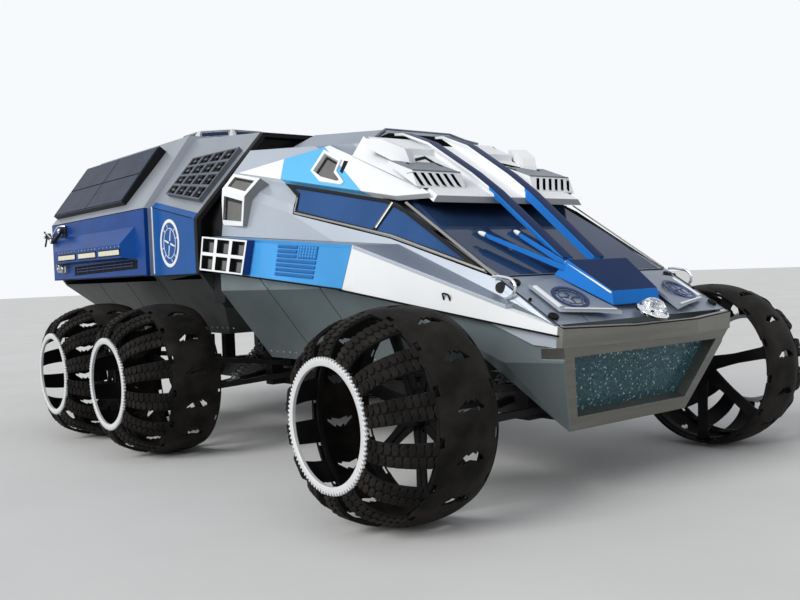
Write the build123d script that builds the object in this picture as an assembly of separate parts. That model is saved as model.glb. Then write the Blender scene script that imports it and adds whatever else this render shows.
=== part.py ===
from build123d import *
import math
import os

os.makedirs("parts", exist_ok=True)

# Planetary rover: a faceted cockpit in front, a laboratory behind it, and six open cage wheels.
# Millimetres. +X is the vehicle's left side, -Y is forward, +Z is up.
# The origin is on the ground in the middle of the whole vehicle. Points of the body are written
# for the left side, and the right side is its mirror image.

# Sides of the flat-sided pieces that stand for round ones
BAR_SIDES = 6
PIN_SIDES = 8
BORE_SIDES = 12
WHEEL_SIDES = 28

# Wheels: a crowned tread drum, curved slats and a toothed ring outside
WHEEL_R = 655.0
WHEEL_STATIONS = {"front": -2944.0, "mid": 367.0, "rear": 1758.0}
DRUM_IN_X = 1420.0
DRUM_W = 450.0
DRUM_T = 20.0
DRUM_EDGE_DROP = 42.0
DRUM_CROWN_W = 200.0
SLATS = 14
SLAT_W = 150.0
SLAT_T = 15.0
SLAT_SEAT = 3.0
RING_OUT_X = 763.0
RING_T = 24.0
RING_R_IN = 340.0
RING_R_OUT = 392.0
SLAT_KNEE_X = 620.0
SLAT_KNEE_R = 545.0
SLAT_SHOULDER_X = 715.0
SLAT_SHOULDER_R = 465.0
SPOKES = 7
SPOKE_X = 60.0
SPOKE_W = 90.0
SPOKE_T = 30.0
HUB_R = 105.0
HUB_IN_X = -40.0
HUB_L = 210.0
SPINDLE_R = 45.0
BEARING_GAP = 0.5
SPINDLE_CLEAR = 5.0

# Steering
KING_X = 1330.0
KING_PIN_R = 22.0
ACTUATOR_R = 62.0
ACTUATOR_H = 70.0

# Suspension arms and the frame below the body
ARM_T = 45.0
LOWER_SPREAD = 230.0
UPPER_SPREAD = 180.0
ARM_EYE_R = 48.0
RAIL_X = 420.0
RAIL_W = 110.0
RAIL_H = 150.0
RAIL_Z = 560.0

# Limits beyond the body, for blanks that are trimmed afterwards
WIDE = 1700.0
HIGH = 3300.0
AHEAD = -3900.0

# Body walls
WALL = 50.0
PANEL_T = 50.0
GLASS_T = 12.0
GLASS_DROP = 10.0

# Cockpit corner points of the left side: x, y, z
SILL_REAR = (1340.0, -156.0, 1875.0)
CREASE_REAR = (1250.0, -549.0, 2154.0)
NOTCH = (1200.0, -1088.0, 1998.0)
WINDOW_REAR_TOP = (1129.0, -883.0, 2280.0)
WINDOW_FRONT_TOP = (909.0, -2053.0, 2048.0)
PILLAR_TOP = (903.0, -2108.0, 2028.0)
PILLAR_FOOT = (905.0, -3060.0, 1441.0)
SIDE_PEAK = (820.0, -1126.0, 2541.0)
HOOD_CORNER = (889.0, -3585.0, 1126.0)
NOSE_CENTRE = (327.0, -3694.0, 1110.0)
NOSE_BAND_Z = 1013.0
NOSE_BAND_Y = -3574.0
NOSE_BAND_LEAN = 11.0
NOSE_TIP_SETBACK = 60.0
NOSE_SHOULDER_DROP = 55.0
NOSE_BACK_Y = -3440.0
NOSE_REAR_Y = -3000.0
CHIN_CORNER = (619.0, -3370.0, 453.0)

# Cockpit lines along the body
CAB_REAR_Y = -206.0
ROOF_EDGE_Z = 2617.0
ROOF_EDGE_X = 944.0
ROOF_STEP_X = 588.0
ROOF_STEP_Z = 2659.0
ROOF_FALL = 0.097
SPINE_X = 348.0
SPINE_Z = 2782.0
VISOR_FALL = 0.598
VISOR_START_Y = -1418.0
VISOR_START_Z = 2585.0
VISOR_LIP_Y = -2340.0
VISOR_T = 40.0

# Belt round the cockpit: a level part and a part that tapers to the nose
BELT_X = 1420.0
BELT_T = 60.0
BELT_REAR_Y = -156.0
BELT_REAR_TOP = 1868.0
BELT_REAR_LOW = 1573.0
BELT_KNEE_Y = -2219.0
BELT_KNEE_TOP = 1699.0
BELT_KNEE_LOW_Y = -2063.0
BELT_KNEE_LOW = 1404.0
BELT_BEND_Y = -3244.0
BELT_BEND_TOP = 1278.0
BELT_BEND_LOW_Y = -3259.0
BELT_BEND_LOW = 1149.0
BELT_NOSE_LOW = 1079.0
BELT_NOSE_Y = -3566.0

# Cockpit hull below the belt
HULL_FLOOR_Z = 800.0
HULL_FLOOR_X = 893.0
HULL_SIDE_LEAN = 0.772
ARCH_BACK_Y = -2060.0
ARCH_TOP_Y = -2250.0
ARCH_TOP_Z = 1125.0
ARCH_FRONT = ((-2627.0, 1019.0), (-3017.0, 936.0), (-3145.0, 768.0))

# Laboratory: a front module that tapers to the rear and a larger rear module
LAB_FRONT_Y = -6.0
LAB_STEP_Y = 940.0
LAB_STEP_RAKE = 0.32
LAB_REAR_Y = 3564.0
LAB_LOW_Z = 1560.0
LAB_ROOF_Z = 2938.0
LAB_ROOF_RISE_Y = 1544.0
LAB_REAR_X = 1532.0
LAB_REAR_SHOULDER_Z = 2195.0
LAB_REAR_ROOF_X = 917.0
LAB_SHOULDER_FRONT = (1490.0, LAB_FRONT_Y, 2033.0)
LAB_SHOULDER_STEP = (1449.0, LAB_STEP_Y, 2205.0)
LAB_SLOPE_TOP = (803.0, LAB_FRONT_Y, 2806.0)
LAB_WALL = 50.0
LAB_HULL_Z = 1005.0
LAB_HULL_X = 1060.0
LAB_HULL_TOP_X = 1440.0
LAB_KEEL = (
    (LAB_FRONT_Y, 1250.0),
    (LAB_FRONT_Y + 250.0, LAB_HULL_Z),
    (2561.0, LAB_HULL_Z),
    (2684.0, 1198.0),
    (3081.0, 1262.0),
    (LAB_REAR_Y, 1500.0),
)


def mirrored(shape):
    """The same piece on the right side."""
    return mirror(shape, about=Plane.YZ)


def outward_plane(inside, a, b, c):
    """The plane of a flat panel through three of its points, facing away from the inside."""
    start = Vector(*a)
    normal = (Vector(*b) - start).cross(Vector(*c) - start).normalized()
    if normal.dot(Vector(*inside) - start) > 0:
        normal = -normal
    return Plane(origin=start, z_dir=normal)


def both_sides(plane):
    """A panel's plane and its mirror image."""
    o, n = plane.origin, plane.z_dir
    return [plane, Plane(origin=(-o.X, o.Y, o.Z), z_dir=(-n.X, n.Y, n.Z))]


def trimmed(shape, planes):
    """What is left of a shape on the inner side of every plane."""
    for plane in planes:
        shape = split(shape, bisect_by=plane, keep=Keep.BOTTOM)
    return shape


def side_profile(points, half_width):
    """A side view, drawn as (y, z) points, carried across the vehicle."""
    face = make_face(Plane.YZ * Polyline(*points, close=True))
    return extrude(face, amount=half_width, both=True)


def box_between(low, high):
    """A plain block from its lowest to its highest corner."""
    size = [b - a for a, b in zip(low, high)]
    centre = [(a + b) / 2 for a, b in zip(low, high)]
    return Pos(*centre) * Box(*size)


def round_between(a, b, radius):
    """A true cylinder from one point to another, for the tow eye's hole."""
    start, end = Vector(*a), Vector(*b)
    run = end - start
    return extrude(Plane(origin=start, z_dir=run.normalized()) * Circle(radius), amount=run.length)


def tube_between(a, b, radius, sides=BAR_SIDES):
    """A bar from one point to another, with flat sides that stand for its round section."""
    start, end = Vector(*a), Vector(*b)
    run = end - start
    section = RegularPolygon(radius, sides)
    return extrude(Plane(origin=start, z_dir=run.normalized()) * section, amount=run.length)


def bore_between(a, b, radius, sides=PIN_SIDES):
    """A flat-sided bore that clears a turning pin of the given radius."""
    return tube_between(a, b, (radius + BEARING_GAP) / math.cos(math.pi / sides), sides)


def staves(outline, sides, width):
    """A turned shape about the X axis made of flat staves, from (x, radius) points."""
    half = math.pi / sides
    stave = extrude(make_face(Polyline(*outline, close=True)), amount=width, both=True)
    cheeks = [
        Plane(origin=(0, 0, 0), z_dir=(0, -math.sin(half), math.cos(half))),
        Plane(origin=(0, 0, 0), z_dir=(0, -math.sin(half), -math.cos(half))),
    ]
    stave = trimmed(stave, cheeks)
    rest = [Rot(360.0 / sides * i, 0, 0) * stave for i in range(1, sides)]
    return stave + rest


def bar_between(a, b, width, height):
    """A square-edged bar from one point to another, its height upright."""
    start, end = Vector(*a), Vector(*b)
    run = end - start
    across = Vector(0, 0, 1).cross(run).normalized()
    section = Plane(origin=start, x_dir=across, z_dir=run.normalized()) * Rectangle(width, height)
    return extrude(section, amount=run.length)


def plate_on(plane, points, depth, inset=0.0, grow=0.0):
    """A panel cut to an outline on its plane, going inwards, with edges that draw in by inset."""
    local = [plane.to_local_coords(Vector(*p)) for p in points]
    outer = make_face(Polyline(*[(p.X, p.Y) for p in local], close=True))
    if grow:
        outer = offset(outer, amount=grow, kind=Kind.INTERSECTION)
    if inset:
        inner = offset(outer, amount=-inset, kind=Kind.INTERSECTION)
        body = loft([outer.face(), Pos(0, 0, -depth) * inner.face()], ruled=True)
    else:
        body = extrude(outer, amount=-depth)
    return plane.location * body


# Planes of the cockpit's flat panels
INSIDE = (0.0, -1500.0, 1500.0)
side_low = outward_plane(INSIDE, SILL_REAR, CREASE_REAR, NOTCH)
side_high = outward_plane(INSIDE, CREASE_REAR, NOTCH, WINDOW_REAR_TOP)
side_window = outward_plane(INSIDE, PILLAR_FOOT, PILLAR_TOP, NOTCH)
side_upper = outward_plane(INSIDE, WINDOW_REAR_TOP, WINDOW_FRONT_TOP, SIDE_PEAK)


def across(point):
    """The mirror image of a point."""
    return (-point[0], point[1], point[2])


front_slope = outward_plane(INSIDE, PILLAR_TOP, PILLAR_FOOT, across(PILLAR_FOOT))
hood_middle = outward_plane(
    INSIDE, NOSE_CENTRE, across(NOSE_CENTRE), (0.0, PILLAR_FOOT[1], PILLAR_FOOT[2])
)
hood_side = outward_plane(INSIDE, PILLAR_FOOT, HOOD_CORNER, NOSE_CENTRE)
roof_top = Plane(origin=(0, CAB_REAR_Y, ROOF_STEP_Z), z_dir=Vector(0, -ROOF_FALL, 1).normalized())
roof_side = outward_plane(
    INSIDE,
    (ROOF_STEP_X, CAB_REAR_Y, ROOF_STEP_Z),
    (ROOF_EDGE_X, CAB_REAR_Y, ROOF_EDGE_Z),
    (ROOF_STEP_X, CAB_REAR_Y - 1000.0, ROOF_STEP_Z - 1000.0 * ROOF_FALL),
)
visor_top = Plane(
    origin=(0, VISOR_START_Y, VISOR_START_Z), z_dir=Vector(0, -VISOR_FALL, 1).normalized()
)
nose_face = outward_plane(
    INSIDE, (HOOD_CORNER[0], NOSE_BAND_Y, NOSE_BAND_Z), CHIN_CORNER, across(CHIN_CORNER)
)

band_side = outward_plane(
    INSIDE, HOOD_CORNER, NOSE_CENTRE, (HOOD_CORNER[0], NOSE_BAND_Y, NOSE_BAND_Z)
)
band_middle = outward_plane(
    INSIDE, NOSE_CENTRE, across(NOSE_CENTRE), (0.0, NOSE_CENTRE[1] + NOSE_BAND_LEAN, NOSE_BAND_Z)
)

BELT_TOP_LINE = (
    (BELT_REAR_Y, BELT_REAR_TOP),
    (BELT_KNEE_Y, BELT_KNEE_TOP),
    (BELT_BEND_Y, BELT_BEND_TOP),
    (HOOD_CORNER[1], HOOD_CORNER[2]),
)
BELT_LOW_LINE = (
    (BELT_REAR_Y, BELT_REAR_LOW),
    (BELT_KNEE_LOW_Y, BELT_KNEE_LOW),
    (BELT_BEND_LOW_Y, BELT_BEND_LOW),
    (HOOD_CORNER[1], BELT_NOSE_LOW),
)
belt_level = Plane(origin=(BELT_X, 0, 0), z_dir=(1, 0, 0))
belt_taper = outward_plane(
    INSIDE,
    (BELT_X, BELT_KNEE_Y, 0.0),
    (BELT_X, BELT_KNEE_Y, 1000.0),
    (HOOD_CORNER[0], HOOD_CORNER[1], 0.0),
)
hull_side = outward_plane(
    INSIDE,
    (HULL_FLOOR_X, 0.0, HULL_FLOOR_Z),
    (HULL_FLOOR_X, -1000.0, HULL_FLOOR_Z),
    (HULL_FLOOR_X + 1000.0 * HULL_SIDE_LEAN, 0.0, HULL_FLOOR_Z + 1000.0),
)
taper_run = (BELT_X - HOOD_CORNER[0]) / (BELT_KNEE_Y - HOOD_CORNER[1])
nose_side = outward_plane(
    INSIDE,
    (HOOD_CORNER[0], NOSE_BAND_Y, NOSE_BAND_Z),
    CHIN_CORNER,
    (CHIN_CORNER[0] + 600.0 * taper_run, CHIN_CORNER[1] + 600.0, CHIN_CORNER[2]),
)

CAB_FACETS = (side_low, side_high, side_window, side_upper.offset(-PANEL_T))
CAB_SIDES = [half for facet in CAB_FACETS for half in both_sides(facet)]
CAB_TOPS = [front_slope, hood_middle, roof_top] + both_sides(hood_side) + both_sides(roof_side)

NOSE_FRONTS = both_sides(band_side) + [band_middle]

# How far an inset volume runs on below the sill, so that it cuts the sill's deck too
SILL_DROP = 1000.0


def cab_volume(inset):
    """The cockpit above the belt, drawn in by inset on every panel."""
    sill_drop = SILL_DROP if inset else 0.0
    base = [(y, z - sill_drop) for y, z in BELT_TOP_LINE]
    base[0] = (CAB_REAR_Y - inset, base[0][1])
    tip_y = NOSE_CENTRE[1] - NOSE_TIP_SETBACK
    around = [(tip_y, NOSE_BAND_Z - sill_drop), (tip_y, HIGH), (CAB_REAR_Y - inset, HIGH)]
    blank = side_profile(base + around, WIDE)
    return trimmed(blank, [p.offset(-inset) for p in CAB_SIDES + CAB_TOPS + NOSE_FRONTS])


def lower_volume(inset):
    """The cockpit's lower body between the belt's top line and the hull's underside."""
    top = [(CAB_REAR_Y, BELT_REAR_TOP)] + list(BELT_TOP_LINE[1:])
    tip_y = NOSE_CENTRE[1] - NOSE_TIP_SETBACK
    nose = [(tip_y, HOOD_CORNER[2] - NOSE_SHOULDER_DROP), (tip_y, CHIN_CORNER[2])]
    under = [(CHIN_CORNER[1], CHIN_CORNER[2])] + list(reversed(ARCH_FRONT))
    under += [(ARCH_TOP_Y, ARCH_TOP_Z), (ARCH_BACK_Y, HULL_FLOOR_Z), (CAB_REAR_Y, HULL_FLOOR_Z)]
    blank = side_profile(top + nose + under, WIDE)
    planes = [belt_level, belt_taper]
    planes = [p.offset(-inset) for p in planes] + [hull_side, nose_side]
    return trimmed(blank, [q for p in planes for q in both_sides(p)] + [nose_face])


def tub_void():
    """The room inside the hull, open at the top, from the rear wall to the firewall."""
    floor = HULL_FLOOR_Z + WALL
    room = side_profile(
        [
            (CAB_REAR_Y - WALL, HIGH),
            (PILLAR_FOOT[1] + WALL, HIGH),
            (PILLAR_FOOT[1] + WALL, ARCH_TOP_Z + WALL),
            (ARCH_TOP_Y, ARCH_TOP_Z + WALL),
            (ARCH_BACK_Y + WALL, floor),
            (CAB_REAR_Y - WALL, floor),
        ],
        WIDE,
    )
    planes = [belt_level.offset(-BELT_T), belt_taper.offset(-BELT_T), hull_side, nose_side]
    return trimmed(room, [q for p in planes for q in both_sides(p.offset(-WALL))])


# Doors: the two-pane side windows, hinged along their top edge
DOOR_GAP = 10.0
DOOR_T = 40.0
DOOR_DRAFT = 24.0
DOOR_FRAME = 26.0
DOOR_OUTLINE = (
    (1180.0, -1130.0, 1995.0),
    (1137.0, -1095.0, 2140.0),
    (1129.0, -925.0, 2250.0),
    (930.0, -1985.0, 2035.0),
    (930.0, -2180.0, 1950.0),
    (930.0, -2985.0, 1474.0),
    (1060.0, -2130.0, 1752.0),
)
DOOR_DIVIDER = ((1066.0, -1950.0, 1790.0), (930.0, -2060.0, 2010.0))
DIVIDER_W = 30.0

# Windshield opening, as distances from the side panels and heights along the slope
SCREEN_SIDE = 60.0
SCREEN_LOW_Y = -3030.0
SCREEN_HIGH_Y = -1560.0
SCREEN_TOP_GAP = 20.0


def on_plane(plane, point):
    """The point moved along X onto a panel's plane."""
    n, o = plane.z_dir, plane.origin
    x = o.X - (n.Y * (point[1] - o.Y) + n.Z * (point[2] - o.Z)) / n.X
    return (x, point[1], point[2])


def door_blank(grow, depth, draft):
    """The door's own outline on the side plane, made larger by grow for its opening."""
    outline = [on_plane(side_window, p) for p in DOOR_OUTLINE]
    return plate_on(side_window, outline, depth, draft, grow)


def screen_blank(depth):
    """The windshield's outline through the front slope."""
    slab = trimmed(
        box_between((-WIDE, SCREEN_LOW_Y, 0.0), (WIDE, SCREEN_HIGH_Y, HIGH)),
        [front_slope, roof_top.offset(-WALL), visor_top.offset(-VISOR_T - SCREEN_TOP_GAP)],
    )
    slab -= trimmed(slab, [front_slope.offset(-depth)])
    sides = [side_window, side_upper.offset(-PANEL_T)]
    return trimmed(slab, [q for p in sides for q in both_sides(p.offset(-SCREEN_SIDE))])


CUT_DEPTH = WALL + 60.0
DECK_CLEAR = 200.0
OPENING_DRAFT = 0.4
DECK_T = 25.0
HOOD_T = 30.0
HOOD_PLATE_T = 22.0
HOOD_PLATE_SEAT = 2.0
HOOD_PLATE = ((755.0, -3190.0), (755.0, -3445.0), (300.0, -3560.0), (430.0, -3120.0))
NOSE_FRAME_DEPTH = 130.0
NOSE_SKIN_T = 12.0
NOSE_BAND_T = 30.0
NOSE_GLASS_T = 16.0
NOSE_GLASS = ((756.0, -3525.0, 955.0), (575.0, -3403.0, 545.0))


def band_slab(low, high):
    """The level slab of the deck: its top line lowered by low and by high."""
    line = BELT_TOP_LINE[:3]
    top = [(y, z - high) for y, z in line]
    return side_profile(top + [(y, z - low) for y, z in reversed(line)], WIDE)


def nose_room():
    """Everything ahead of the windshield's foot."""
    return box_between((-WIDE, AHEAD, 0.0), (WIDE, PILLAR_FOOT[1], HIGH))


def hood_zone(low, high):
    """Whatever lies between two depths under the hood's three panels."""
    planes = [hood_middle] + both_sides(hood_side)
    zone = trimmed(cab_volume(0.0), [p.offset(-high) for p in planes])
    if low:
        zone -= trimmed(cab_volume(0.0), [p.offset(-low) for p in planes])
    return zone & nose_room()


def build_cab():
    """The silver cockpit shell: side facets, roof, sill deck and the solid nose under the hood."""
    shell = cab_volume(0.0) - cab_volume(WALL)
    shell -= nose_room()
    deck = (lower_volume(0.0) & band_slab(DECK_T, 0.0)) - cab_volume(WALL)
    body = shell + hood_zone(0.0, HOOD_T) + deck
    opening = door_blank(DOOR_GAP, CUT_DEPTH, DOOR_DRAFT * OPENING_DRAFT)
    opening += quarter_windows(QUARTER_DEPTH)
    opening += plate_on(side_upper, on_upper(PORT_PANE), PANEL_T + CUT_DEPTH)
    return body - opening - mirrored(opening) - screen_blank(CUT_DEPTH)


def build_hood():
    """The hood: three folded panels with a raised plate on each side."""
    body = hood_zone(HOOD_T, 0.0)
    outline = [(x, y, 0.0) for x, y in HOOD_PLATE]
    column = extrude(make_face(Polyline(*outline, close=True)), amount=HIGH)
    planes = [hood_middle, hood_side]
    plate = trimmed(column, [p.offset(HOOD_PLATE_T) for p in planes])
    plate -= trimmed(column, [p.offset(-HOOD_PLATE_SEAT) for p in planes])
    return body + plate + mirrored(plate)


def nose_band():
    """The folded band across the nose, under the hood's front edge."""
    planes = [hood_middle] + both_sides(hood_side) + both_sides(belt_taper) + NOSE_FRONTS
    blank = box_between((-WIDE, AHEAD, NOSE_BAND_Z), (WIDE, NOSE_BACK_Y, HIGH))
    band = trimmed(blank, planes)
    return band - trimmed(blank, [p.offset(-NOSE_BAND_T) for p in NOSE_FRONTS]) - cab_volume(0.0)


def build_nose_frame():
    """The nose: a folded band under the hood and a sloping frame round a deep window."""
    low = lower_volume(0.0)
    frame = low - trimmed(low, [nose_face.offset(-NOSE_FRAME_DEPTH)])
    frame = trimmed(frame, both_sides(nose_side.offset(-NOSE_SKIN_T)))
    frame &= box_between((-WIDE, AHEAD, 0.0), (WIDE, NOSE_REAR_Y, NOSE_BAND_Z))
    frame = frame + nose_band()
    window = plate_on(nose_face, nose_window_outline(), NOSE_FRAME_DEPTH - 2.0 * NOSE_GLASS_T)
    return frame - window


def nose_window_outline():
    """The four corners of the nose window."""
    (xt, yt, zt), (xb, yb, zb) = NOSE_GLASS
    return [(xt, yt, zt), (-xt, yt, zt), (-xb, yb, zb), (xb, yb, zb)]


def build_nose_glass():
    """The speckled pane at the bottom of the nose recess."""
    plane = nose_face.offset(-NOSE_FRAME_DEPTH + 3.0 * NOSE_GLASS_T)
    return plate_on(plane, nose_window_outline(), NOSE_GLASS_T)


def build_hull():
    """The grey-green lower body: a tub with a floor, open wheel arches and a chin."""
    low = lower_volume(BELT_T)
    front = low - trimmed(low, [nose_face.offset(-NOSE_FRAME_DEPTH)])
    body = low - trimmed(front, both_sides(nose_side.offset(-NOSE_SKIN_T)))
    band_room = box_between((-WIDE, AHEAD, NOSE_BAND_Z), (WIDE, NOSE_REAR_Y, HIGH))
    body -= band_room - trimmed(band_room, [p.offset(-NOSE_BAND_T) for p in NOSE_FRONTS])
    body -= tub_void()
    body -= band_slab(DECK_T, -DECK_CLEAR)
    return body - cab_volume(0.0)


def build_belt():
    """The belt panel of the left side: level along the cockpit, then tapering to the nose."""
    top = [(y, z - DECK_T) for y, z in BELT_TOP_LINE[:3]] + [BELT_TOP_LINE[3]]
    band = side_profile(top + list(reversed(BELT_LOW_LINE)), WIDE)
    outer = trimmed(band, [belt_level, belt_taper])
    inner = trimmed(band, [belt_level.offset(-BELT_T), belt_taper.offset(-BELT_T)])
    panel = (outer - inner) & box_between((0.0, BELT_NOSE_Y, 0.0), (WIDE, 0.0, HIGH))
    return panel - cab_volume(0.0) - nose_band()


def door_panes():
    """The two window openings of a door, between its frame and its divider."""
    inner = door_blank(-DOOR_FRAME, CUT_DEPTH, 0.0)
    low, high = [Vector(*on_plane(side_window, p)) for p in DOOR_DIVIDER]
    along = (high - low).normalized()
    side = along.cross(side_window.z_dir) * (DIVIDER_W / 2)
    ends = [low - along * CUT_DEPTH, high + along * CUT_DEPTH]
    strip = [ends[0] + side, ends[1] + side, ends[1] - side, ends[0] - side]
    bar = plate_on(side_window.offset(GLASS_DROP), [(v.X, v.Y, v.Z) for v in strip], 2.0 * CUT_DEPTH)
    return inner - bar


def build_door():
    """The gull-wing door of the left side: a frame with a divider."""
    return door_blank(0.0, DOOR_T, DOOR_DRAFT) - door_panes()


def build_door_glass():
    """The two panes of a door, set a little below its face."""
    panes = door_panes()
    plate = trimmed(panes, [side_window.offset(-GLASS_DROP)])
    return plate - trimmed(panes, [side_window.offset(-GLASS_DROP - GLASS_T)])


def build_windshield():
    """The windshield pane in its opening."""
    pane = screen_blank(GLASS_DROP + 2.0 * GLASS_T)
    return trimmed(pane, [front_slope.offset(-GLASS_DROP)])


# Roof: visor over the windshield, intake boxes, spine and twin rails
VISOR_POCKET_Y = -1540.0
VISOR_REAR_Y = -1200.0
SHOULDER_FOOT = ((831.0, -1642.0), (722.0, -1879.0))
SHOULDER_SIDE = (
    (0.0, 2200.0),
    (0.0, 2526.0),
    (123.0, 2510.0),
    (316.0, 2420.0),
    (346.0, 2344.0),
    (380.0, 2200.0),
)
SHOULDER_W = 110.0
ROOF_STEP_SPAN = (180.0, 660.0)
ROOF_STEP_SIDE = ((-1430.0, 2500.0), (-1430.0, 2580.0), (-1700.0, 2462.0), (-1716.0, 2300.0))
VENT_X = (368.0, 838.0)
VENT_SIDE = ((-2221.0, 2000.0), (-2221.0, 2105.0), (-2172.0, 2228.0), (-1900.0, 2330.0), (-1900.0, 2000.0))
VENT_EDGES = (32.0, 8.0)
VENT_SLOTS = 6
VENT_SLOT_W = 36.0
VENT_SLOT_LEAN = 45.0
VENT_SLOT_Z = (2112.0, 2212.0)
VENT_SLOT_DEPTH = 110.0
SPINE_FRONT_Y = -1275.0
SPINE_LOW_Z = 2400.0
RAIL_FROM = (200.0, -1280.0)
RAIL_TO = (146.0, -3010.0)
# Along each rail: y, the height of its top and its depth there
RAIL_TOP = (
    (-1280.0, 2646.0, 115.0),
    (-1390.0, 2634.0, 115.0),
    (-1690.0, 2519.0, 115.0),
    (-2160.0, 2231.0, 115.0),
    (-2385.0, 2072.0, 80.0),
    (-3010.0, 1556.0, 70.0),
)
ROOF_RAIL_W = 50.0
BLOCK_TOP = ((315.0, -3133.0, 1542.0), (240.0, -3439.0, 1329.0))
BLOCK_FOOT = (355.0, -3050.0, 1447.0)
BLOCK_TOE = (258.0, -3452.0, 1236.0)
BLOCK_REAR_Y = -2950.0
WIPERS = (
    ((-300.0, -3120.0, 1480.0), (-640.0, -2655.0, 1748.0)),
    ((-205.0, -3080.0, 1490.0), (-290.0, -2650.0, 1755.0)),
)
WIPER_R = 15.0

PANEL_OUTLINE = (
    (1226.0, -347.0, 2391.0),
    (1012.0, -728.0, 2467.0),
    (820.0, -1126.0, 2541.0),
    (822.0, -2240.0, 2094.0),
    (883.0, -2325.0, 2050.0),
    (909.0, -2060.0, 2052.0),
    (1129.0, -883.0, 2284.0),
)
PORT_RIM = (
    (860.0, -1112.0, 2499.0),
    (866.0, -1353.0, 2392.0),
    (936.0, -1378.0, 2300.0),
    (971.0, -1522.0, 2198.0),
    (991.0, -1511.0, 2178.0),
    (1034.0, -1284.0, 2224.0),
    (1005.0, -1124.0, 2325.0),
)
PORT_PANE = (
    (878.0, -1146.0, 2464.0),
    (883.0, -1335.0, 2380.0),
    (950.0, -1367.0, 2287.0),
    (975.0, -1467.0, 2216.0),
    (986.0, -1448.0, 2211.0),
    (1006.0, -1269.0, 2262.0),
    (998.0, -1151.0, 2322.0),
)
PORT_RISE = 14.0
PORT_GLASS_DROP = 24.0


def on_upper(outline):
    """An outline moved onto the upper side facet."""
    return [on_plane(side_upper, p) for p in outline]


def build_side_panel():
    """The white upper side panel of the left side, cut out for its port."""
    panel = plate_on(side_upper, on_upper(PANEL_OUTLINE), PANEL_T)
    return panel - plate_on(side_upper, on_upper(PORT_RIM), CUT_DEPTH)


def build_port_frame():
    """The raised frame round the left port."""
    frame = plate_on(side_upper.offset(PORT_RISE), on_upper(PORT_RIM), PORT_RISE + PANEL_T)
    return frame - plate_on(side_upper.offset(PORT_RISE), on_upper(PORT_PANE), CUT_DEPTH)


def build_port_glass():
    """The pane in the left port."""
    return plate_on(side_upper.offset(-PORT_GLASS_DROP), on_upper(PORT_PANE), GLASS_T)


# Quarter bays: white boxes behind the doors, folded between a lower and an upper window.
# A window's outline is its shares along the face and across it.
QUARTER_LOW = (
    (1320.0, -224.0, 2268.0),
    (1320.0, -600.0, 2172.0),
    (1320.0, -551.0, 1930.0),
    (1320.0, -165.0, 1964.0),
)
QUARTER_HIGH = (
    (1246.0, -300.0, 2388.0),
    (1232.0, -714.0, 2309.0),
    (1320.0, -600.0, 2172.0),
    (1320.0, -224.0, 2268.0),
)
QUARTER_LOW_PANE = (0.10, 0.92, 0.18, 0.85)
QUARTER_HIGH_PANE = (0.12, 0.88, 0.16, 0.78)
QUARTER_DEPTH = 200.0
QUARTER_GLASS_DROP = 22.0
QUARTERS = (
    (outward_plane(INSIDE, *QUARTER_LOW[:3]), QUARTER_LOW, QUARTER_LOW_PANE),
    (outward_plane(INSIDE, *QUARTER_HIGH[:3]), QUARTER_HIGH, QUARTER_HIGH_PANE),
)


def quad_point(quad, u, v):
    """A point inside four corners, by its share along and across."""
    a, b, c, d = quad
    top = [p + (q - p) * u for p, q in zip(a, b)]
    low = [p + (q - p) * u for p, q in zip(d, c)]
    return tuple(p + (q - p) * v for p, q in zip(top, low))


def quarter_pane(face, shares):
    """One window's outline in a face of the bay."""
    u0, u1, v0, v1 = shares
    return [quad_point(face, u, v) for u, v in ((u0, v0), (u1, v0), (u1, v1), (u0, v1))]


def quarter_windows(depth):
    """The two window openings of the left bay, cut as deep as depth."""
    low, high = [plate_on(plane, quarter_pane(face, shares), depth) for plane, face, shares in QUARTERS]
    return low + high


def build_quarter_bay():
    """The left bay, seated on the cockpit's side behind the door."""
    low, high = [plate_on(plane, face, QUARTER_DEPTH) for plane, face, _ in QUARTERS]
    rear = Plane(origin=(0, CAB_REAR_Y, 0), z_dir=(0, 1, 0))
    body = trimmed(low + high, [rear]) - quarter_windows(QUARTER_DEPTH)
    return body - cab_volume(0.0) - build_side_panel()


def build_quarter_glass():
    """The two panes of the left bay."""
    panes = []
    for plane, face, shares in QUARTERS:
        seat = plane.offset(-QUARTER_GLASS_DROP)
        panes.append(plate_on(seat, quarter_pane(face, shares), GLASS_T))
    return panes[0] + panes[1]


def build_shoulder():
    """The left fairing on the visor: an upright box whose outer face turns in to the front."""
    (x0, y0), (x1, y1) = SHOULDER_FOOT
    along = Vector(x1 - x0, y1 - y0, 0).normalized()
    face = Plane(origin=(x0, y0, 0), x_dir=along, z_dir=along.cross(Vector(0, 0, 1)))
    body = extrude(face * make_face(Polyline(*SHOULDER_SIDE, close=True)), amount=SHOULDER_W)
    return body - trimmed(body, [visor_top])


def build_roof_step():
    """The shallow step between a fairing and a rail, where the roof runs on over the visor."""
    low_x, high_x = ROOF_STEP_SPAN
    step = side_profile(ROOF_STEP_SIDE, WIDE) & box_between((low_x, AHEAD, 0.0), (high_x, 0.0, HIGH))
    return step - trimmed(step, [visor_top])


def build_visor():
    """The overhanging front of the roof: a wedge hollowed from below to a thin plate."""
    blank = box_between((-WIDE, VISOR_LIP_Y, 0.0), (WIDE, VISOR_REAR_Y, HIGH))
    sides = [side_upper.offset(-PANEL_T), roof_side, side_window.offset(VISOR_T)]
    planes = [visor_top, roof_top] + [q for p in sides for q in both_sides(p)]
    wedge = trimmed(blank, planes) - trimmed(blank, [front_slope])
    pocket = trimmed(
        box_between((-WIDE, AHEAD, 0.0), (WIDE, VISOR_POCKET_Y, HIGH)),
        [visor_top.offset(-VISOR_T)],
    )
    raised = build_shoulder() + build_roof_step()
    return wedge - pocket + raised + mirrored(raised)


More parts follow.
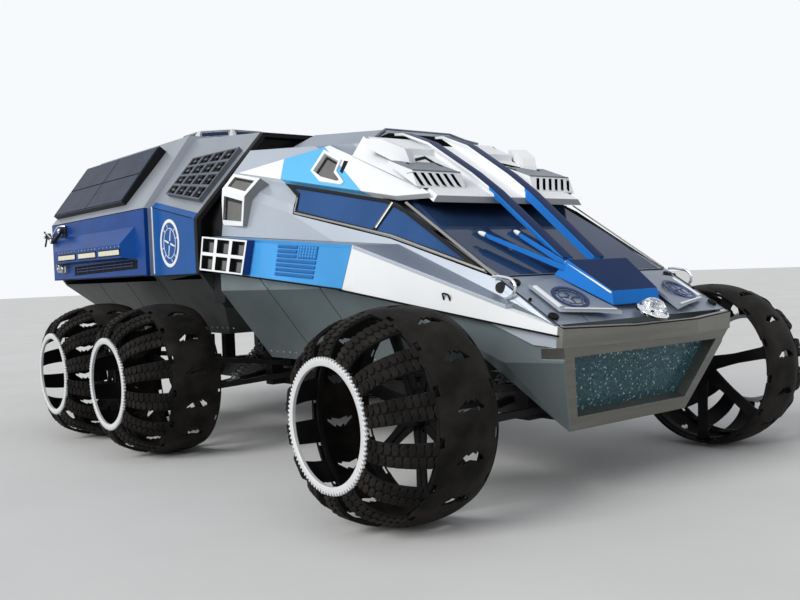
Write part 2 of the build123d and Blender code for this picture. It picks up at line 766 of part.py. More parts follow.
def build_vent():
    """The intake box of the left side, with a row of leaning slots in its front."""
    low_x, high_x = VENT_X
    body = side_profile(VENT_SIDE, WIDE) & box_between((low_x, AHEAD, 0.0), (high_x, 0.0, HIGH))
    body -= trimmed(body, [visor_top])
    front = Plane(origin=(0, VENT_SIDE[1][0], 0), x_dir=(1, 0, 0), z_dir=(0, -1, 0))
    low_z, high_z = VENT_SLOT_Z
    pitch = (high_x - low_x - sum(VENT_EDGES)) / VENT_SLOTS
    for i in range(VENT_SLOTS):
        x = low_x + VENT_EDGES[0] + i * pitch
        foot = [(x, low_z), (x + VENT_SLOT_W, low_z)]
        head = [(x + VENT_SLOT_W + VENT_SLOT_LEAN, high_z), (x + VENT_SLOT_LEAN, high_z)]
        slot = front * make_face(Polyline(*foot, *head, close=True))
        body -= extrude(slot, amount=-VENT_SLOT_DEPTH)
    return body - build_shoulder()


def build_spine():
    """The raised middle of the roof, from the rear to the sunroof frame."""
    low, high = (ROOF_STEP_X, CAB_REAR_Y, ROOF_STEP_Z), (SPINE_X, CAB_REAR_Y, SPINE_Z)
    ahead = (SPINE_X, CAB_REAR_Y - 1000.0, SPINE_Z - 1000.0 * ROOF_FALL)
    top = outward_plane(INSIDE, high, across(high), ahead)
    side = outward_plane(INSIDE, low, high, ahead)
    blank = box_between(
        (-ROOF_STEP_X, SPINE_FRONT_Y, SPINE_LOW_Z), (ROOF_STEP_X, CAB_REAR_Y, HIGH)
    )
    blank = trimmed(blank, [top] + both_sides(side))
    return blank - cab_volume(WALL / 2)


def build_rails():
    """The twin rails from the roof over the windshield to the nose block."""
    (x0, y0), (x1, y1) = RAIL_FROM, RAIL_TO
    along = Vector(x1 - x0, y1 - y0, 0)
    stretch = along.length / (y1 - y0)
    top = [((y - y0) * stretch, z) for y, z, _ in RAIL_TOP]
    low = [((y - y0) * stretch, z - deep) for y, z, deep in RAIL_TOP]
    upright = along.normalized().cross(Vector(0, 0, 1))
    middle = Plane(origin=(x0, y0, 0), x_dir=along.normalized(), z_dir=upright)
    section = middle * make_face(Polyline(*top, *reversed(low), close=True))
    rail = extrude(section, amount=ROOF_RAIL_W / 2, both=True)
    roof = trimmed(box_between((0.0, VISOR_LIP_Y, 0.0), (WIDE, VISOR_REAR_Y, HIGH)), [visor_top])
    rail = rail - cab_volume(0.0) - build_visor() - roof - build_nose_block()
    return rail + mirrored(rail)


def build_nose_block():
    """The faceted block on the hood that ends the rails, with the two arms over the windshield."""
    inside = (0.0, BLOCK_TOP[0][1], BLOCK_TOP[1][2])
    top = outward_plane(inside, BLOCK_TOP[0], BLOCK_TOP[1], across(BLOCK_TOP[0]))
    side = outward_plane(inside, BLOCK_TOP[0], BLOCK_TOP[1], BLOCK_FOOT)
    rear = outward_plane(inside, BLOCK_TOP[0], across(BLOCK_TOP[0]), BLOCK_FOOT)
    front = outward_plane(inside, BLOCK_TOP[1], across(BLOCK_TOP[1]), BLOCK_TOE)
    blank = box_between((-WIDE, AHEAD, 0.0), (WIDE, BLOCK_REAR_Y, HIGH))
    block = trimmed(blank, [top, rear, front] + both_sides(side))
    block -= trimmed(block, [hood_middle])
    for a, b in WIPERS:
        block += tube_between(a, b, WIPER_R)
    return block - cab_volume(0.0)


# Laboratory: shell, sides, hull, front frame, panels and rear door
SOLAR_Y = (1500.0, 3540.0)
SOLAR_LOW = (1515.0, 2300.0)
SOLAR_HIGH = (1090.0, 2868.0)
SOLAR_DEPTH = 400.0
SOLAR_CELL_T = 6.0
SOLAR_CELL_GAP = 16.0
GRILLE_POINTS = ((1388.0, 754.0), (1408.0, 50.0), (985.0, 55.0), (1085.0, 780.0))
GRILLE_T = 45.0
GRILLE_CELLS = 4
GRILLE_BAR = 0.1
GRILLE_PAN_T = 12.0
SIDE_PANEL_T = 40.0
LAB_FRAME_T = 40.0
LAB_FRAME_L = 60.0
NECK_X = 1330.0
NECK_LOW_Z = 1300.0
NECK_INSET = 90.0
LAB_DOOR_W = 820.0
LAB_DOOR_Z = (1600.0, 2840.0)
LAB_DOOR_T = 44.0
LAB_DOOR_GAP = 8.0
LAB_DOOR_HANDLE = (300.0, 35.0, 1950.0, 2250.0)
LAB_DOOR_GRIP_R = 12.0
LAB_STEP_PLATE = (380.0, 130.0, 45.0)

LAB_INSIDE = (0.0, 1000.0, 1800.0)
lab_front_side = outward_plane(
    LAB_INSIDE, LAB_SHOULDER_FRONT, LAB_SHOULDER_STEP, (LAB_SHOULDER_FRONT[0], LAB_FRONT_Y, 0.0)
)
lab_front_slope = outward_plane(LAB_INSIDE, LAB_SHOULDER_FRONT, LAB_SHOULDER_STEP, LAB_SLOPE_TOP)
lab_roof_fall = outward_plane(
    LAB_INSIDE, LAB_SLOPE_TOP, across(LAB_SLOPE_TOP), (0.0, LAB_ROOF_RISE_Y, LAB_ROOF_Z)
)
lab_roof = Plane(origin=(0, 0, LAB_ROOF_Z), z_dir=(0, 0, 1))
lab_rear_side = Plane(origin=(LAB_REAR_X, 0, 0), z_dir=(1, 0, 0))
lab_rear_slope = outward_plane(
    LAB_INSIDE,
    (LAB_REAR_X, 0.0, LAB_REAR_SHOULDER_Z),
    (LAB_REAR_X, 1000.0, LAB_REAR_SHOULDER_Z),
    (LAB_REAR_ROOF_X, 0.0, LAB_ROOF_Z),
)
lab_lean = outward_plane(
    LAB_INSIDE,
    (LAB_HULL_X, 0.0, LAB_HULL_Z),
    (LAB_HULL_X, 1000.0, LAB_HULL_Z),
    (LAB_HULL_TOP_X, 0.0, LAB_LOW_Z),
)


def offsets(planes, inset):
    """The left and right planes of some panels, each drawn in by inset."""
    return [q for p in planes for q in both_sides(p.offset(-inset))]


def lab_front_volume(inset):
    """The front module, whose roof falls towards the cockpit."""
    blank = box_between(
        (-WIDE, LAB_FRONT_Y + inset, LAB_LOW_Z - inset), (WIDE, LAB_ROOF_RISE_Y - inset, HIGH)
    )
    walls = offsets([lab_front_side, lab_front_slope], inset)
    return trimmed(blank, walls + [lab_roof_fall.offset(-inset)])


def lab_rear_volume(inset):
    """The rear module, a little larger, with its front edge raked back up the slopes."""
    blank = box_between(
        (-WIDE, LAB_STEP_Y + inset, LAB_LOW_Z - inset), (WIDE, LAB_REAR_Y - inset, HIGH)
    )
    rake = Plane(
        origin=(0, LAB_STEP_Y + inset, LAB_REAR_SHOULDER_Z),
        z_dir=Vector(0, -1, LAB_STEP_RAKE).normalized(),
    )
    walls = offsets([lab_rear_side, lab_rear_slope], inset)
    return trimmed(blank, walls + [rake, lab_roof.offset(-inset)])


def lab_lower_volume(inset):
    """The dark underbody: sloping sides and an underside that steps up to the rear."""
    keel = [(y, z + inset) for y, z in LAB_KEEL[1:-1]]
    ends = [(LAB_FRONT_Y + inset, LAB_LOW_Z), (LAB_FRONT_Y + inset, LAB_KEEL[0][1] + inset)]
    rear = [(LAB_REAR_Y - inset, LAB_KEEL[-1][1] + inset), (LAB_REAR_Y - inset, LAB_LOW_Z)]
    return trimmed(side_profile(ends + keel + rear, WIDE), offsets([lab_lean], inset))


def lab_room():
    """The room inside the laboratory, down to its floor."""
    return lab_lower_volume(LAB_WALL) + lab_front_volume(LAB_WALL) + lab_rear_volume(LAB_WALL)


def lab_side_panels():
    """The upright blue sides of both modules, as panels set into the shell."""
    front = box_between(
        (-WIDE, LAB_FRONT_Y, LAB_LOW_Z), (WIDE, LAB_STEP_Y, LAB_REAR_SHOULDER_Z + LAB_WALL)
    )
    front = trimmed(front, offsets([lab_front_side, lab_front_slope], 0.0))
    front -= trimmed(front, offsets([lab_front_side], SIDE_PANEL_T))
    rear = box_between(
        (-LAB_REAR_X, LAB_STEP_Y, LAB_LOW_Z), (LAB_REAR_X, LAB_REAR_Y, LAB_REAR_SHOULDER_Z)
    )
    rear -= trimmed(rear, offsets([lab_rear_side], SIDE_PANEL_T))
    return front + rear


def lab_door_blank(gap, depth):
    """The rear door's outline through the rear wall."""
    half = LAB_DOOR_W / 2 + gap
    low, high = LAB_DOOR_Z
    return box_between((-half, LAB_REAR_Y - depth, low - gap), (half, LAB_REAR_Y, high + gap))


def build_lab_shell(sides):
    """The silver upper shell of the laboratory: two modules with walls and a roof."""
    body = lab_front_volume(0.0) + lab_rear_volume(0.0)
    return body - lab_room() - sides - lab_door_blank(LAB_DOOR_GAP, 2.0 * LAB_WALL)


def build_lab_hull():
    """The dark underbody of the laboratory: a tray with a floor and a step under the rear door."""
    width, reach, thick = LAB_STEP_PLATE
    body = lab_lower_volume(0.0) - lab_room()
    low = LAB_KEEL[-1][1]
    return body + box_between(
        (-width, LAB_REAR_Y - LAB_WALL, low), (width, LAB_REAR_Y + reach, low + thick)
    )


def build_lab_frame():
    """The black frame round the laboratory's front edge and the neck between it and the cockpit."""
    blank = box_between((-WIDE, LAB_FRONT_Y - LAB_FRAME_L, LAB_LOW_Z), (WIDE, LAB_FRONT_Y, HIGH))
    walls = [lab_front_side, lab_front_slope]
    outer = trimmed(blank, offsets(walls, 0.0) + [lab_roof_fall])
    inner = trimmed(blank, offsets(walls, LAB_FRAME_T) + [lab_roof_fall.offset(-LAB_FRAME_T)])
    neck = box_between((-NECK_X, CAB_REAR_Y, NECK_LOW_Z), (NECK_X, LAB_FRONT_Y, HIGH))
    falls = [lab_roof_fall.offset(-NECK_INSET), roof_top.offset(-NECK_INSET / 3)]
    slopes = offsets([lab_front_slope, side_high], NECK_INSET)
    return outer - inner + trimmed(neck, slopes + falls)


def build_solar_panel():
    """The thick solar panel on the left slope: a black box with four cells on its face."""
    (xl, zl), (xh, zh) = SOLAR_LOW, SOLAR_HIGH
    low_y, high_y = SOLAR_Y
    run = Vector(xh - xl, 0, zh - zl)
    out = Vector(run.Z, 0, -run.X).normalized()
    face = Plane(origin=(xl, 0, zl), x_dir=(0, 1, 0), z_dir=out)
    outline = [(xl, low_y, zl), (xl, high_y, zl), (xh, high_y, zh), (xh, low_y, zh)]
    slab = plate_on(face, outline, SOLAR_DEPTH)
    body = slab - trimmed(slab, [lab_rear_slope])
    cell_y = (high_y - low_y - 3 * SOLAR_CELL_GAP) / 2
    cell_s = (run.length - 3 * SOLAR_CELL_GAP) / 2
    along = run.normalized()
    for i in range(2):
        for j in range(2):
            y = low_y + SOLAR_CELL_GAP * (i + 1) + cell_y * (i + 0.5)
            centre = Vector(xl, y, zl) + along * (SOLAR_CELL_GAP * (j + 1) + cell_s * (j + 0.5))
            seat = Plane(origin=centre, x_dir=(0, 1, 0), z_dir=out)
            body += seat * Box(cell_y, cell_s, 2.0 * SOLAR_CELL_T)
    return body


def build_grille():
    """The egg-crate grille on the front module's left slope: a thick plate with square pockets."""
    top = lab_front_slope.offset(GRILLE_T)
    corners = [drop_on(top, (x, y, LAB_ROOF_Z)) for x, y in GRILLE_POINTS]
    body = plate_on(top, corners, GRILLE_T)
    for i in range(GRILLE_CELLS):
        for j in range(GRILLE_CELLS):
            u0, u1 = (i + GRILLE_BAR) / GRILLE_CELLS, (i + 1 - GRILLE_BAR) / GRILLE_CELLS
            v0, v1 = (j + GRILLE_BAR) / GRILLE_CELLS, (j + 1 - GRILLE_BAR) / GRILLE_CELLS
            cell = [quad_point(corners, u, v) for u, v in ((u0, v0), (u1, v0), (u1, v1), (u0, v1))]
            body -= plate_on(top, cell, GRILLE_T - GRILLE_PAN_T)
    return body


def drop_on(plane, point):
    """The point moved up or down onto a plane."""
    n, o = plane.z_dir, plane.origin
    z = o.Z - (n.X * (point[0] - o.X) + n.Y * (point[1] - o.Y)) / n.Z
    return (point[0], point[1], z)


def build_lab_door():
    """The laboratory's rear door with a pull handle."""
    x, out, low, high = LAB_DOOR_HANDLE
    leaf = lab_door_blank(0.0, LAB_DOOR_T)
    grip_y = LAB_REAR_Y + out
    handle = tube_between((x, grip_y, low), (x, grip_y, high), LAB_DOOR_GRIP_R)
    for z in (low + 2.0 * LAB_DOOR_GRIP_R, high - 2.0 * LAB_DOOR_GRIP_R):
        foot = (x, LAB_REAR_Y - LAB_DOOR_T / 2, z)
        handle += tube_between(foot, (x, grip_y, z), LAB_DOOR_GRIP_R - 2.0)
    return leaf + handle


# Lamp hoods and lamps on the laboratory's sides, cupola on its roof
LAMP_HOOD_Y = (1170.0, 3340.0)
LAMP_HOOD_END = 120.0
LAMP_HOOD_SECTION = ((0.0, 2037.0), (110.0, 1876.0), (105.0, 1748.0), (0.0, 1727.0))
# Each lamp's middle and length along the hood
LIGHT_BARS = ((1566.0, 534.0), (2175.0, 491.0), (2788.0, 521.0))
LIGHT_BAR_T = 8.0
LIGHT_BAR_H = 46.0
LIGHT_BAR_DROP = 12.0
CUPOLA_Y = 2090.0
CUPOLA_SIDES = 8
# The turret's rings from the roof up: radius at the corners and height over the roof
CUPOLA_RINGS = ((580.0, 0.0), (545.0, 95.0), (495.0, 175.0), (430.0, 192.0))
CUPOLA_WINDOW = (300.0, 60.0)
CUPOLA_WINDOW_T = 10.0


def build_lamp_hood():
    """The wedge hood on the left blue side, with mitred ends, that carries three flat lamps."""
    y0, y1 = LAMP_HOOD_Y
    section = [(LAB_REAR_X + x, z) for x, z in LAMP_HOOD_SECTION]
    seat = Plane(origin=(0, y0, 0), x_dir=(1, 0, 0), z_dir=(0, -1, 0))
    body = extrude(seat * make_face(Polyline(*section, close=True)), amount=-(y1 - y0))
    reach = LAMP_HOOD_SECTION[1][0]
    inside = (LAB_REAR_X, (y0 + y1) / 2, LAB_LOW_Z)
    for y, end in ((y0, y0 + LAMP_HOOD_END), (y1, y1 - LAMP_HOOD_END)):
        mitre = outward_plane(
            inside, (LAB_REAR_X, y, 0.0), (LAB_REAR_X + reach, end, 0.0), (LAB_REAR_X, y, 1000.0)
        )
        body = trimmed(body, [mitre])
    return body


def lamp_face():
    """The plane of the hood's lower front, which carries the lamps."""
    (x1, z1), (x2, z2) = LAMP_HOOD_SECTION[1:3]
    run = Vector(x2 - x1, 0, z2 - z1).normalized()
    out = Vector(-run.Z, 0, run.X)
    middle = (LAB_REAR_X + (x1 + x2) / 2, 0.0, (z1 + z2) / 2)
    return Plane(origin=middle, x_dir=(0, 1, 0), z_dir=out)


def build_light_bars():
    """The three pale lamps of the left side."""
    seat = lamp_face()
    drop = LIGHT_BAR_DROP * math.copysign(1.0, seat.y_dir.Z)
    lamps = []
    for y, length in LIGHT_BARS:
        lamps.append(seat * Pos(y, -drop, LIGHT_BAR_T / 2) * Box(length, LIGHT_BAR_H, LIGHT_BAR_T))
    return lamps[0] + lamps[1:]


def build_cupola():
    """The roof cupola: a low eight-sided turret with a shallow window in each side."""
    rings = []
    for radius, rise in CUPOLA_RINGS:
        ring = RegularPolygon(radius, CUPOLA_SIDES, rotation=180.0 / CUPOLA_SIDES)
        rings.append((Pos(0, 0, rise) * ring).face())
    turret = None
    for low, high in zip(rings, rings[1:]):
        band = loft([low, high], ruled=True)
        turret = band if turret is None else turret + band
    (low_r, low_z), (high_r, high_z) = CUPOLA_RINGS[1:3]
    apothem = math.cos(math.pi / CUPOLA_SIDES)
    lean = math.degrees(math.atan2((low_r - high_r) * apothem, high_z - low_z))
    middle = ((low_r + high_r) / 2 * apothem, 0.0, (low_z + high_z) / 2)
    width, height = CUPOLA_WINDOW
    window = Pos(*middle) * Rot(0, -lean, 0) * Box(2.0 * CUPOLA_WINDOW_T, width, height)
    turret -= [Rot(0, 0, 360.0 / CUPOLA_SIDES * i) * window for i in range(CUPOLA_SIDES)]
    return Pos(0, CUPOLA_Y, LAB_ROOF_Z) * turret


# Six-pane side windows
PANE_BOX_X = (1420.0, 1490.0)
PANE_BOX = ((-150.0, 1869.0), (-915.0, 1796.0), (-811.0, 1529.0), (-75.0, 1588.0))
PANE_RIM = 0.1
PANE_GLASS_X = 1440.0
PANE_CELLS = [(column, row) for column in range(3) for row in range(2)]


def pane_outline(column, row):
    """One of the six panes, drawn in by the rim's share of its cell."""
    u0, u1 = (column + PANE_RIM) / 3, (column + 1 - PANE_RIM) / 3
    v0, v1 = (row + PANE_RIM) / 2, (row + 1 - PANE_RIM) / 2
    return [quad_point(PANE_BOX, u, v) for u, v in ((u0, v0), (u1, v0), (u1, v1), (u0, v1))]


def slab_x(points, low, high):
    """A flat outline of (y, z) points given a thickness along X."""
    seat = Plane(origin=(low, 0, 0), x_dir=(0, 1, 0), z_dir=(1, 0, 0))
    return extrude(seat * make_face(Polyline(*points, close=True)), amount=high - low)


def build_pane_box():
    """The frame of the left side's six small windows, standing off the belt."""
    low, high = PANE_BOX_X
    body = slab_x(PANE_BOX, low, high)
    for column, row in PANE_CELLS:
        body -= slab_x(pane_outline(column, row), PANE_GLASS_X - GLASS_T, high)
    return body


def build_pane_glass():
    """The six panes of the left side."""
    panes = []
    for column, row in PANE_CELLS:
        panes.append(slab_x(pane_outline(column, row), PANE_GLASS_X - GLASS_T, PANE_GLASS_X))
    return panes[0] + panes[1:]


# Nose dome, hood brackets and the folded tool arm at the rear
DOME_AT = (0.0, -3566.0, 1190.0)
DOME_R = 98.0
DOME_BASE_R = 111.0
DOME_BASE_T = 22.0
DOME_BANDS = 3
BRACKET_R = 11.0
BRACKET_LAP = 6.0
BRACKET_X = 930.0
BRACKET = (
    (-3087.0, 1449.0),
    (-3209.0, 1434.0),
    (-3250.0, 1390.0),
    (-3221.0, 1322.0),
    (-3106.0, 1310.0),
)
ARM_MOUNT = ((LAB_REAR_X, 3060.0, 2045.0), (1552.0, 3160.0, 2160.0))
# The stowed arm's joints from shoulder to wrist, and the ends of its two fingers
ARM_JOINTS = ((1580.0, 3110.0, 2110.0), (1580.0, 3400.0, 2010.0), (1580.0, 3600.0, 2080.0))
ARM_FINGERS = ((1580.0, 3690.0, 2130.0), (1580.0, 3685.0, 1960.0))
ARM_LINK = 34.0
ARM_DRUM_R = 32.0
ARM_DRUM_X = (1545.0, 1612.0)
ARM_FINGER = 16.0


def build_dome():
    """The clear lamp dome on the hood, over a round base."""
    base_z = drop_on(hood_middle, DOME_AT)[2]
    tilt = Plane(origin=(DOME_AT[0], DOME_AT[1], base_z), z_dir=hood_middle.z_dir)
    turns = [math.pi / 2 / DOME_BANDS * i for i in range(DOME_BANDS + 1)]
    arc = [(DOME_R * math.sin(t), DOME_R * math.cos(t)) for t in turns[:-1]] + [(DOME_R, 0.0)]
    ball = Rot(0, -90, 0) * staves([(0.0, 0.0)] + arc, PIN_SIDES, DOME_R)
    return tilt * (ball + extrude(RegularPolygon(DOME_BASE_R, PIN_SIDES), amount=DOME_BASE_T))


def build_bracket():
    """The bent tube beside the hood on the left."""
    points = [(BRACKET_X, y, z) for y, z in BRACKET]
    body = None
    for a, b in zip(points, points[1:]):
        lap = (Vector(*b) - Vector(*a)).normalized() * BRACKET_LAP
        part = tube_between(Vector(*a) - lap, Vector(*b) + lap, BRACKET_R)
        body = part if body is None else body + part
    return body - cab_volume(0.0) - lower_volume(0.0)


def build_tool_arm():
    """The small tool arm stowed on the right side of the laboratory, near its rear edge."""
    body = box_between(*ARM_MOUNT)
    for a, b in zip(ARM_JOINTS, ARM_JOINTS[1:]):
        body += bar_between(a, b, ARM_LINK, ARM_LINK)
    for _, y, z in ARM_JOINTS:
        body += tube_between((ARM_DRUM_X[0], y, z), (ARM_DRUM_X[1], y, z), ARM_DRUM_R, PIN_SIDES)
    for tip in ARM_FINGERS:
        body += bar_between(ARM_JOINTS[-1], tip, ARM_FINGER, ARM_FINGER)
    return mirrored(body)


# Frame below the body, suspension and wheels
CROSS_H = 100.0
CROSS_W = 90.0
CROSS_LIFT = 20.0
POST_H = 240.0
CROSS_Y = (-3080.0, -2300.0, -1250.0, -300.0, 600.0, 1500.0, 2300.0)
RAIL_ENDS = (-3125.0, 2400.0)
TOWER_X = 600.0
TOWER_HALF = 60.0
TOWER_Z = 920.0
UPPER_EYE_Z = 137.0
LOWER_EYE_Z = -137.0
EYE_H = 40.0
LOWER_ROOT_Z = 590.0
UPPER_ROOT_Z = 690.0
UPRIGHT_W = 80.0
UPRIGHT_L = 110.0
UPRIGHT_H = 200.0
SPINDLE_END_X = 1550.0
SHOCK_LOW = (1010.0, 555.0)
SHOCK_HIGH = (650.0, 880.0)
SHOCK_R = 30.0
SPRING_R = 46.0
SPRING_SPAN = (0.2, 0.9)
SHOCK_PIN = 40.0
SHOCK_PIN_L = 110.0
SHOCK_LUG = (80.0, 60.0)
TOW_Y = 2440.0
TOW_T = 40.0
TOW_EYE_R = 50.0
TOW_HOLE_R = 20.0


def build_chassis():
    """The ladder frame below the body: two rails, cross members and a tow eye."""
    inner, outer = RAIL_X - RAIL_W / 2, RAIL_X + RAIL_W / 2
    foot, head = RAIL_Z - RAIL_H / 2, RAIL_Z + RAIL_H / 2
    rail = box_between((inner, RAIL_ENDS[0], foot), (outer, RAIL_ENDS[1], head))
    body = rail + mirrored(rail)
    low = foot + CROSS_LIFT
    for y in CROSS_Y:
        y0, y1 = y - CROSS_W / 2, y + CROSS_W / 2
        body += box_between((-RAIL_X, y0, low), (RAIL_X, y1, low + CROSS_H))
    half = TOW_T / 2
    eye = tube_between((-half, TOW_Y, RAIL_Z), (half, TOW_Y, RAIL_Z), TOW_EYE_R, PIN_SIDES)
    eye += box_between((-half, CROSS_Y[-1], RAIL_Z - TOW_EYE_R), (half, TOW_Y, RAIL_Z + TOW_EYE_R))
    return body + eye - round_between((-TOW_T, TOW_Y, RAIL_Z), (TOW_T, TOW_Y, RAIL_Z), TOW_HOLE_R)


def build_posts():
    """The posts that stand on the rails over the cross members and carry the two bodies."""
    inner, outer = RAIL_X - RAIL_W / 2, RAIL_X + RAIL_W / 2
    low, head = RAIL_Z - RAIL_H / 2 + CROSS_LIFT, RAIL_Z + RAIL_H / 2
    posts = []
    for y in CROSS_Y:
        if y > ARCH_TOP_Y:
            high = LAB_HULL_Z if y > CAB_REAR_Y else min(HULL_FLOOR_Z, low + POST_H)
            post = box_between((inner, y - CROSS_W / 2, head), (outer, y + CROSS_W / 2, high))
            posts += [post, mirrored(post)]
    return posts[0] + posts[1:]


def build_towers():
    """The six spring towers on the outer sides of the rails."""
    foot, side = RAIL_Z - RAIL_H / 2, RAIL_X + RAIL_W / 2
    towers = []
    for y in WHEEL_STATIONS.values():
        tower = box_between((side, y - TOWER_HALF, foot), (TOWER_X, y + TOWER_HALF, TOWER_Z))
        towers += [tower, mirrored(tower)]
    return towers[0] + towers[1:]


def arm_pair(y):
    """The lower and upper arms of one left wheel, each two legs that meet in an eye."""
    body = None
    roots = ((LOWER_ROOT_Z, LOWER_EYE_Z, LOWER_SPREAD), (UPPER_ROOT_Z, UPPER_EYE_Z, UPPER_SPREAD))
    for root_z, eye_z, spread in roots:
        eye_at = Vector(KING_X, y, WHEEL_R + eye_z)
        half = Vector(0, 0, EYE_H / 2)
        part = tube_between(eye_at - half, eye_at + half, ARM_EYE_R)
        for side in (-spread, spread):
            part += bar_between((RAIL_X + RAIL_W / 2, y + side, root_z), eye_at, ARM_T, ARM_T)
        body = part if body is None else body + part
    rail = box_between((0.0, AHEAD, 0.0), (RAIL_X + RAIL_W / 2, -AHEAD, HIGH))
    return body - rail


def build_front_arms():
    """The front wheels' arms with the kingpins that join them."""
    y = WHEEL_STATIONS["front"]
    pin_z = (LOWER_EYE_Z - EYE_H / 2, UPPER_EYE_Z + EYE_H / 2)
    pin = tube_between((KING_X, y, WHEEL_R + pin_z[0]), (KING_X, y, WHEEL_R + pin_z[1]), KING_PIN_R)
    arms = arm_pair(y) + pin
    foot = WHEEL_R + UPPER_EYE_Z + EYE_H / 2
    arms += tube_between((KING_X, y, foot), (KING_X, y, foot + ACTUATOR_H), ACTUATOR_R, PIN_SIDES)
    return arms + mirrored(arms)


def upright():
    """A wheel upright with its spindle, about the wheel's centre."""
    post = Pos(KING_X, 0, 0) * Box(UPRIGHT_W, UPRIGHT_L, UPRIGHT_H)
    return post + tube_between((KING_X, 0, 0), (SPINDLE_END_X, 0, 0), SPINDLE_R, PIN_SIDES)


def build_knuckle():
    """The steered upright of the left front wheel, bored for its kingpin."""
    y = WHEEL_STATIONS["front"]
    low, high = (KING_X, 0, -UPRIGHT_H / 2), (KING_X, 0, UPRIGHT_H / 2)
    return Pos(0, y, WHEEL_R) * (upright() - bore_between(low, high, KING_PIN_R))


def build_rear_arms():
    """The arms and fixed uprights of the four rear wheels."""
    body = None
    for station in ("mid", "rear"):
        y = WHEEL_STATIONS[station]
        post = Pos(0, y, WHEEL_R) * upright()
        ends = tube_between(
            (KING_X, y, WHEEL_R + LOWER_EYE_Z), (KING_X, y, WHEEL_R + UPPER_EYE_Z), KING_PIN_R
        )
        part = arm_pair(y) + post + ends
        part += mirrored(part)
        body = part if body is None else body + part
    return body


def build_shocks():
    """The six spring and damper units between the lower arms and the towers."""
    body = None
    for y in WHEEL_STATIONS.values():
        low = Vector(SHOCK_LOW[0], y, SHOCK_LOW[1])
        high = Vector(SHOCK_HIGH[0], y, SHOCK_HIGH[1])
        spring = [low + (high - low) * t for t in SPRING_SPAN]
        part = tube_between(low, high, SHOCK_R) + tube_between(*spring, SPRING_R)
        for end in (low, high):
            part += Pos(*end) * Box(SHOCK_PIN, SHOCK_PIN_L, SHOCK_PIN)
        (wide, tall), reach = SHOCK_LUG, SHOCK_HIGH[0] - TOWER_X
        part += Pos(TOWER_X + reach / 2, y, SHOCK_HIGH[1]) * Box(reach, wide, tall)
        part += mirrored(part)
        body = part if body is None else body + part
    return body


def wheel_section():
    """The slat's side view, from the drum's end face out to the ring."""
    rim = WHEEL_R - DRUM_EDGE_DROP - SLAT_SEAT
    outer = [
        (DRUM_W, rim),
        (SLAT_KNEE_X, SLAT_KNEE_R),
        (SLAT_SHOULDER_X, SLAT_SHOULDER_R),
        (RING_OUT_X - RING_T, RING_R_OUT - SLAT_SEAT),
    ]
    inner = [
        (RING_OUT_X - RING_T, RING_R_OUT - 2.0 * SLAT_T),
        (SLAT_SHOULDER_X - SLAT_T, SLAT_SHOULDER_R - SLAT_T / 2),
        (SLAT_KNEE_X - SLAT_T / 2, SLAT_KNEE_R - SLAT_T),
        (DRUM_W, rim - SLAT_T),
    ]
    return outer + inner


def build_wheel():
    """A cage wheel about the X axis, outboard towards +X, its inner edge at X = 0."""
    r = WHEEL_R
    edge = r - DRUM_EDGE_DROP
    crown = (DRUM_W - DRUM_CROWN_W) / 2
    outline = [
        (0.0, edge), (crown, r), (DRUM_W - crown, r), (DRUM_W, edge), (DRUM_W, edge - DRUM_T),
        (0.0, edge - DRUM_T),
    ]
    body = staves(outline, WHEEL_SIDES, 2.0 * r / WHEEL_SIDES * math.pi)
    slat = extrude(make_face(Polyline(*wheel_section(), close=True)), amount=SLAT_W / 2, both=True)
    body += [Rot(360.0 / SLATS * i, 0, 0) * slat for i in range(SLATS)]
    hub = tube_between((HUB_IN_X, 0, 0), (HUB_IN_X + HUB_L, 0, 0), HUB_R, PIN_SIDES)
    spoke = box_between(
        (SPOKE_X, 0.0, -SPOKE_W / 2), (SPOKE_X + SPOKE_T, edge - DRUM_T / 2, SPOKE_W / 2)
    )
    body += [hub] + [Rot(360.0 / SPOKES * i, 0, 0) * spoke for i in range(SPOKES)]
    bore_end = SPINDLE_END_X - DRUM_IN_X + SPINDLE_CLEAR
    return body - bore_between((HUB_IN_X, 0, 0), (bore_end, 0, 0), SPINDLE_R, BORE_SIDES)


def build_ring():
    """The light ring bolted to the slats' outer ends."""
    low, high = RING_OUT_X - RING_T, RING_OUT_X
    outline = [(low, RING_R_IN), (high, RING_R_IN), (high, RING_R_OUT), (low, RING_R_OUT)]
    return staves(outline, WHEEL_SIDES, 2.0 * RING_R_OUT / WHEEL_SIDES * math.pi)


def placed_wheel(shape, side, station):
    """A wheel piece at its axle, on the left (+1) or the right (-1)."""
    placed = Pos(DRUM_IN_X, WHEEL_STATIONS[station], WHEEL_R) * shape
    return placed if side > 0 else mirrored(placed)


# Inside the cockpit: seats, helm and the battery block below the floor
SEAT_PLACES = ((-430.0, -1850.0), (430.0, -1850.0), (-430.0, -850.0), (430.0, -850.0))
SEAT_FLOOR = HULL_FLOOR_Z + WALL
SEAT_FOOT = (260.0, 300.0, 300.0)
SEAT_CUSHION = (500.0, 520.0, 130.0)
SEAT_BACK = (480.0, 120.0, 640.0)
SEAT_HEAD = (280.0, 90.0, 210.0)
SEAT_BACK_LEAN = -12.0
SEAT_BACK_Y = 250.0
HELM_Y = (-2560.0, -2330.0)
HELM_TOP_Z = 1560.0
HELM_X = 800.0
HELM_FALL = 40.0
HELM_FACE = ((-2270.0, 1400.0), (-2370.0, HELM_TOP_Z))
YOKE_AT = (430.0, -2190.0, 1500.0)
YOKE_RISE = 70.0
YOKE_HALF = 180.0
YOKE_GRIP = 90.0
YOKE_R = 18.0
BATTERY_X = 335.0
BATTERY_Y = (-1900.0, -420.0)
BATTERY_Z = (680.0, 800.0)


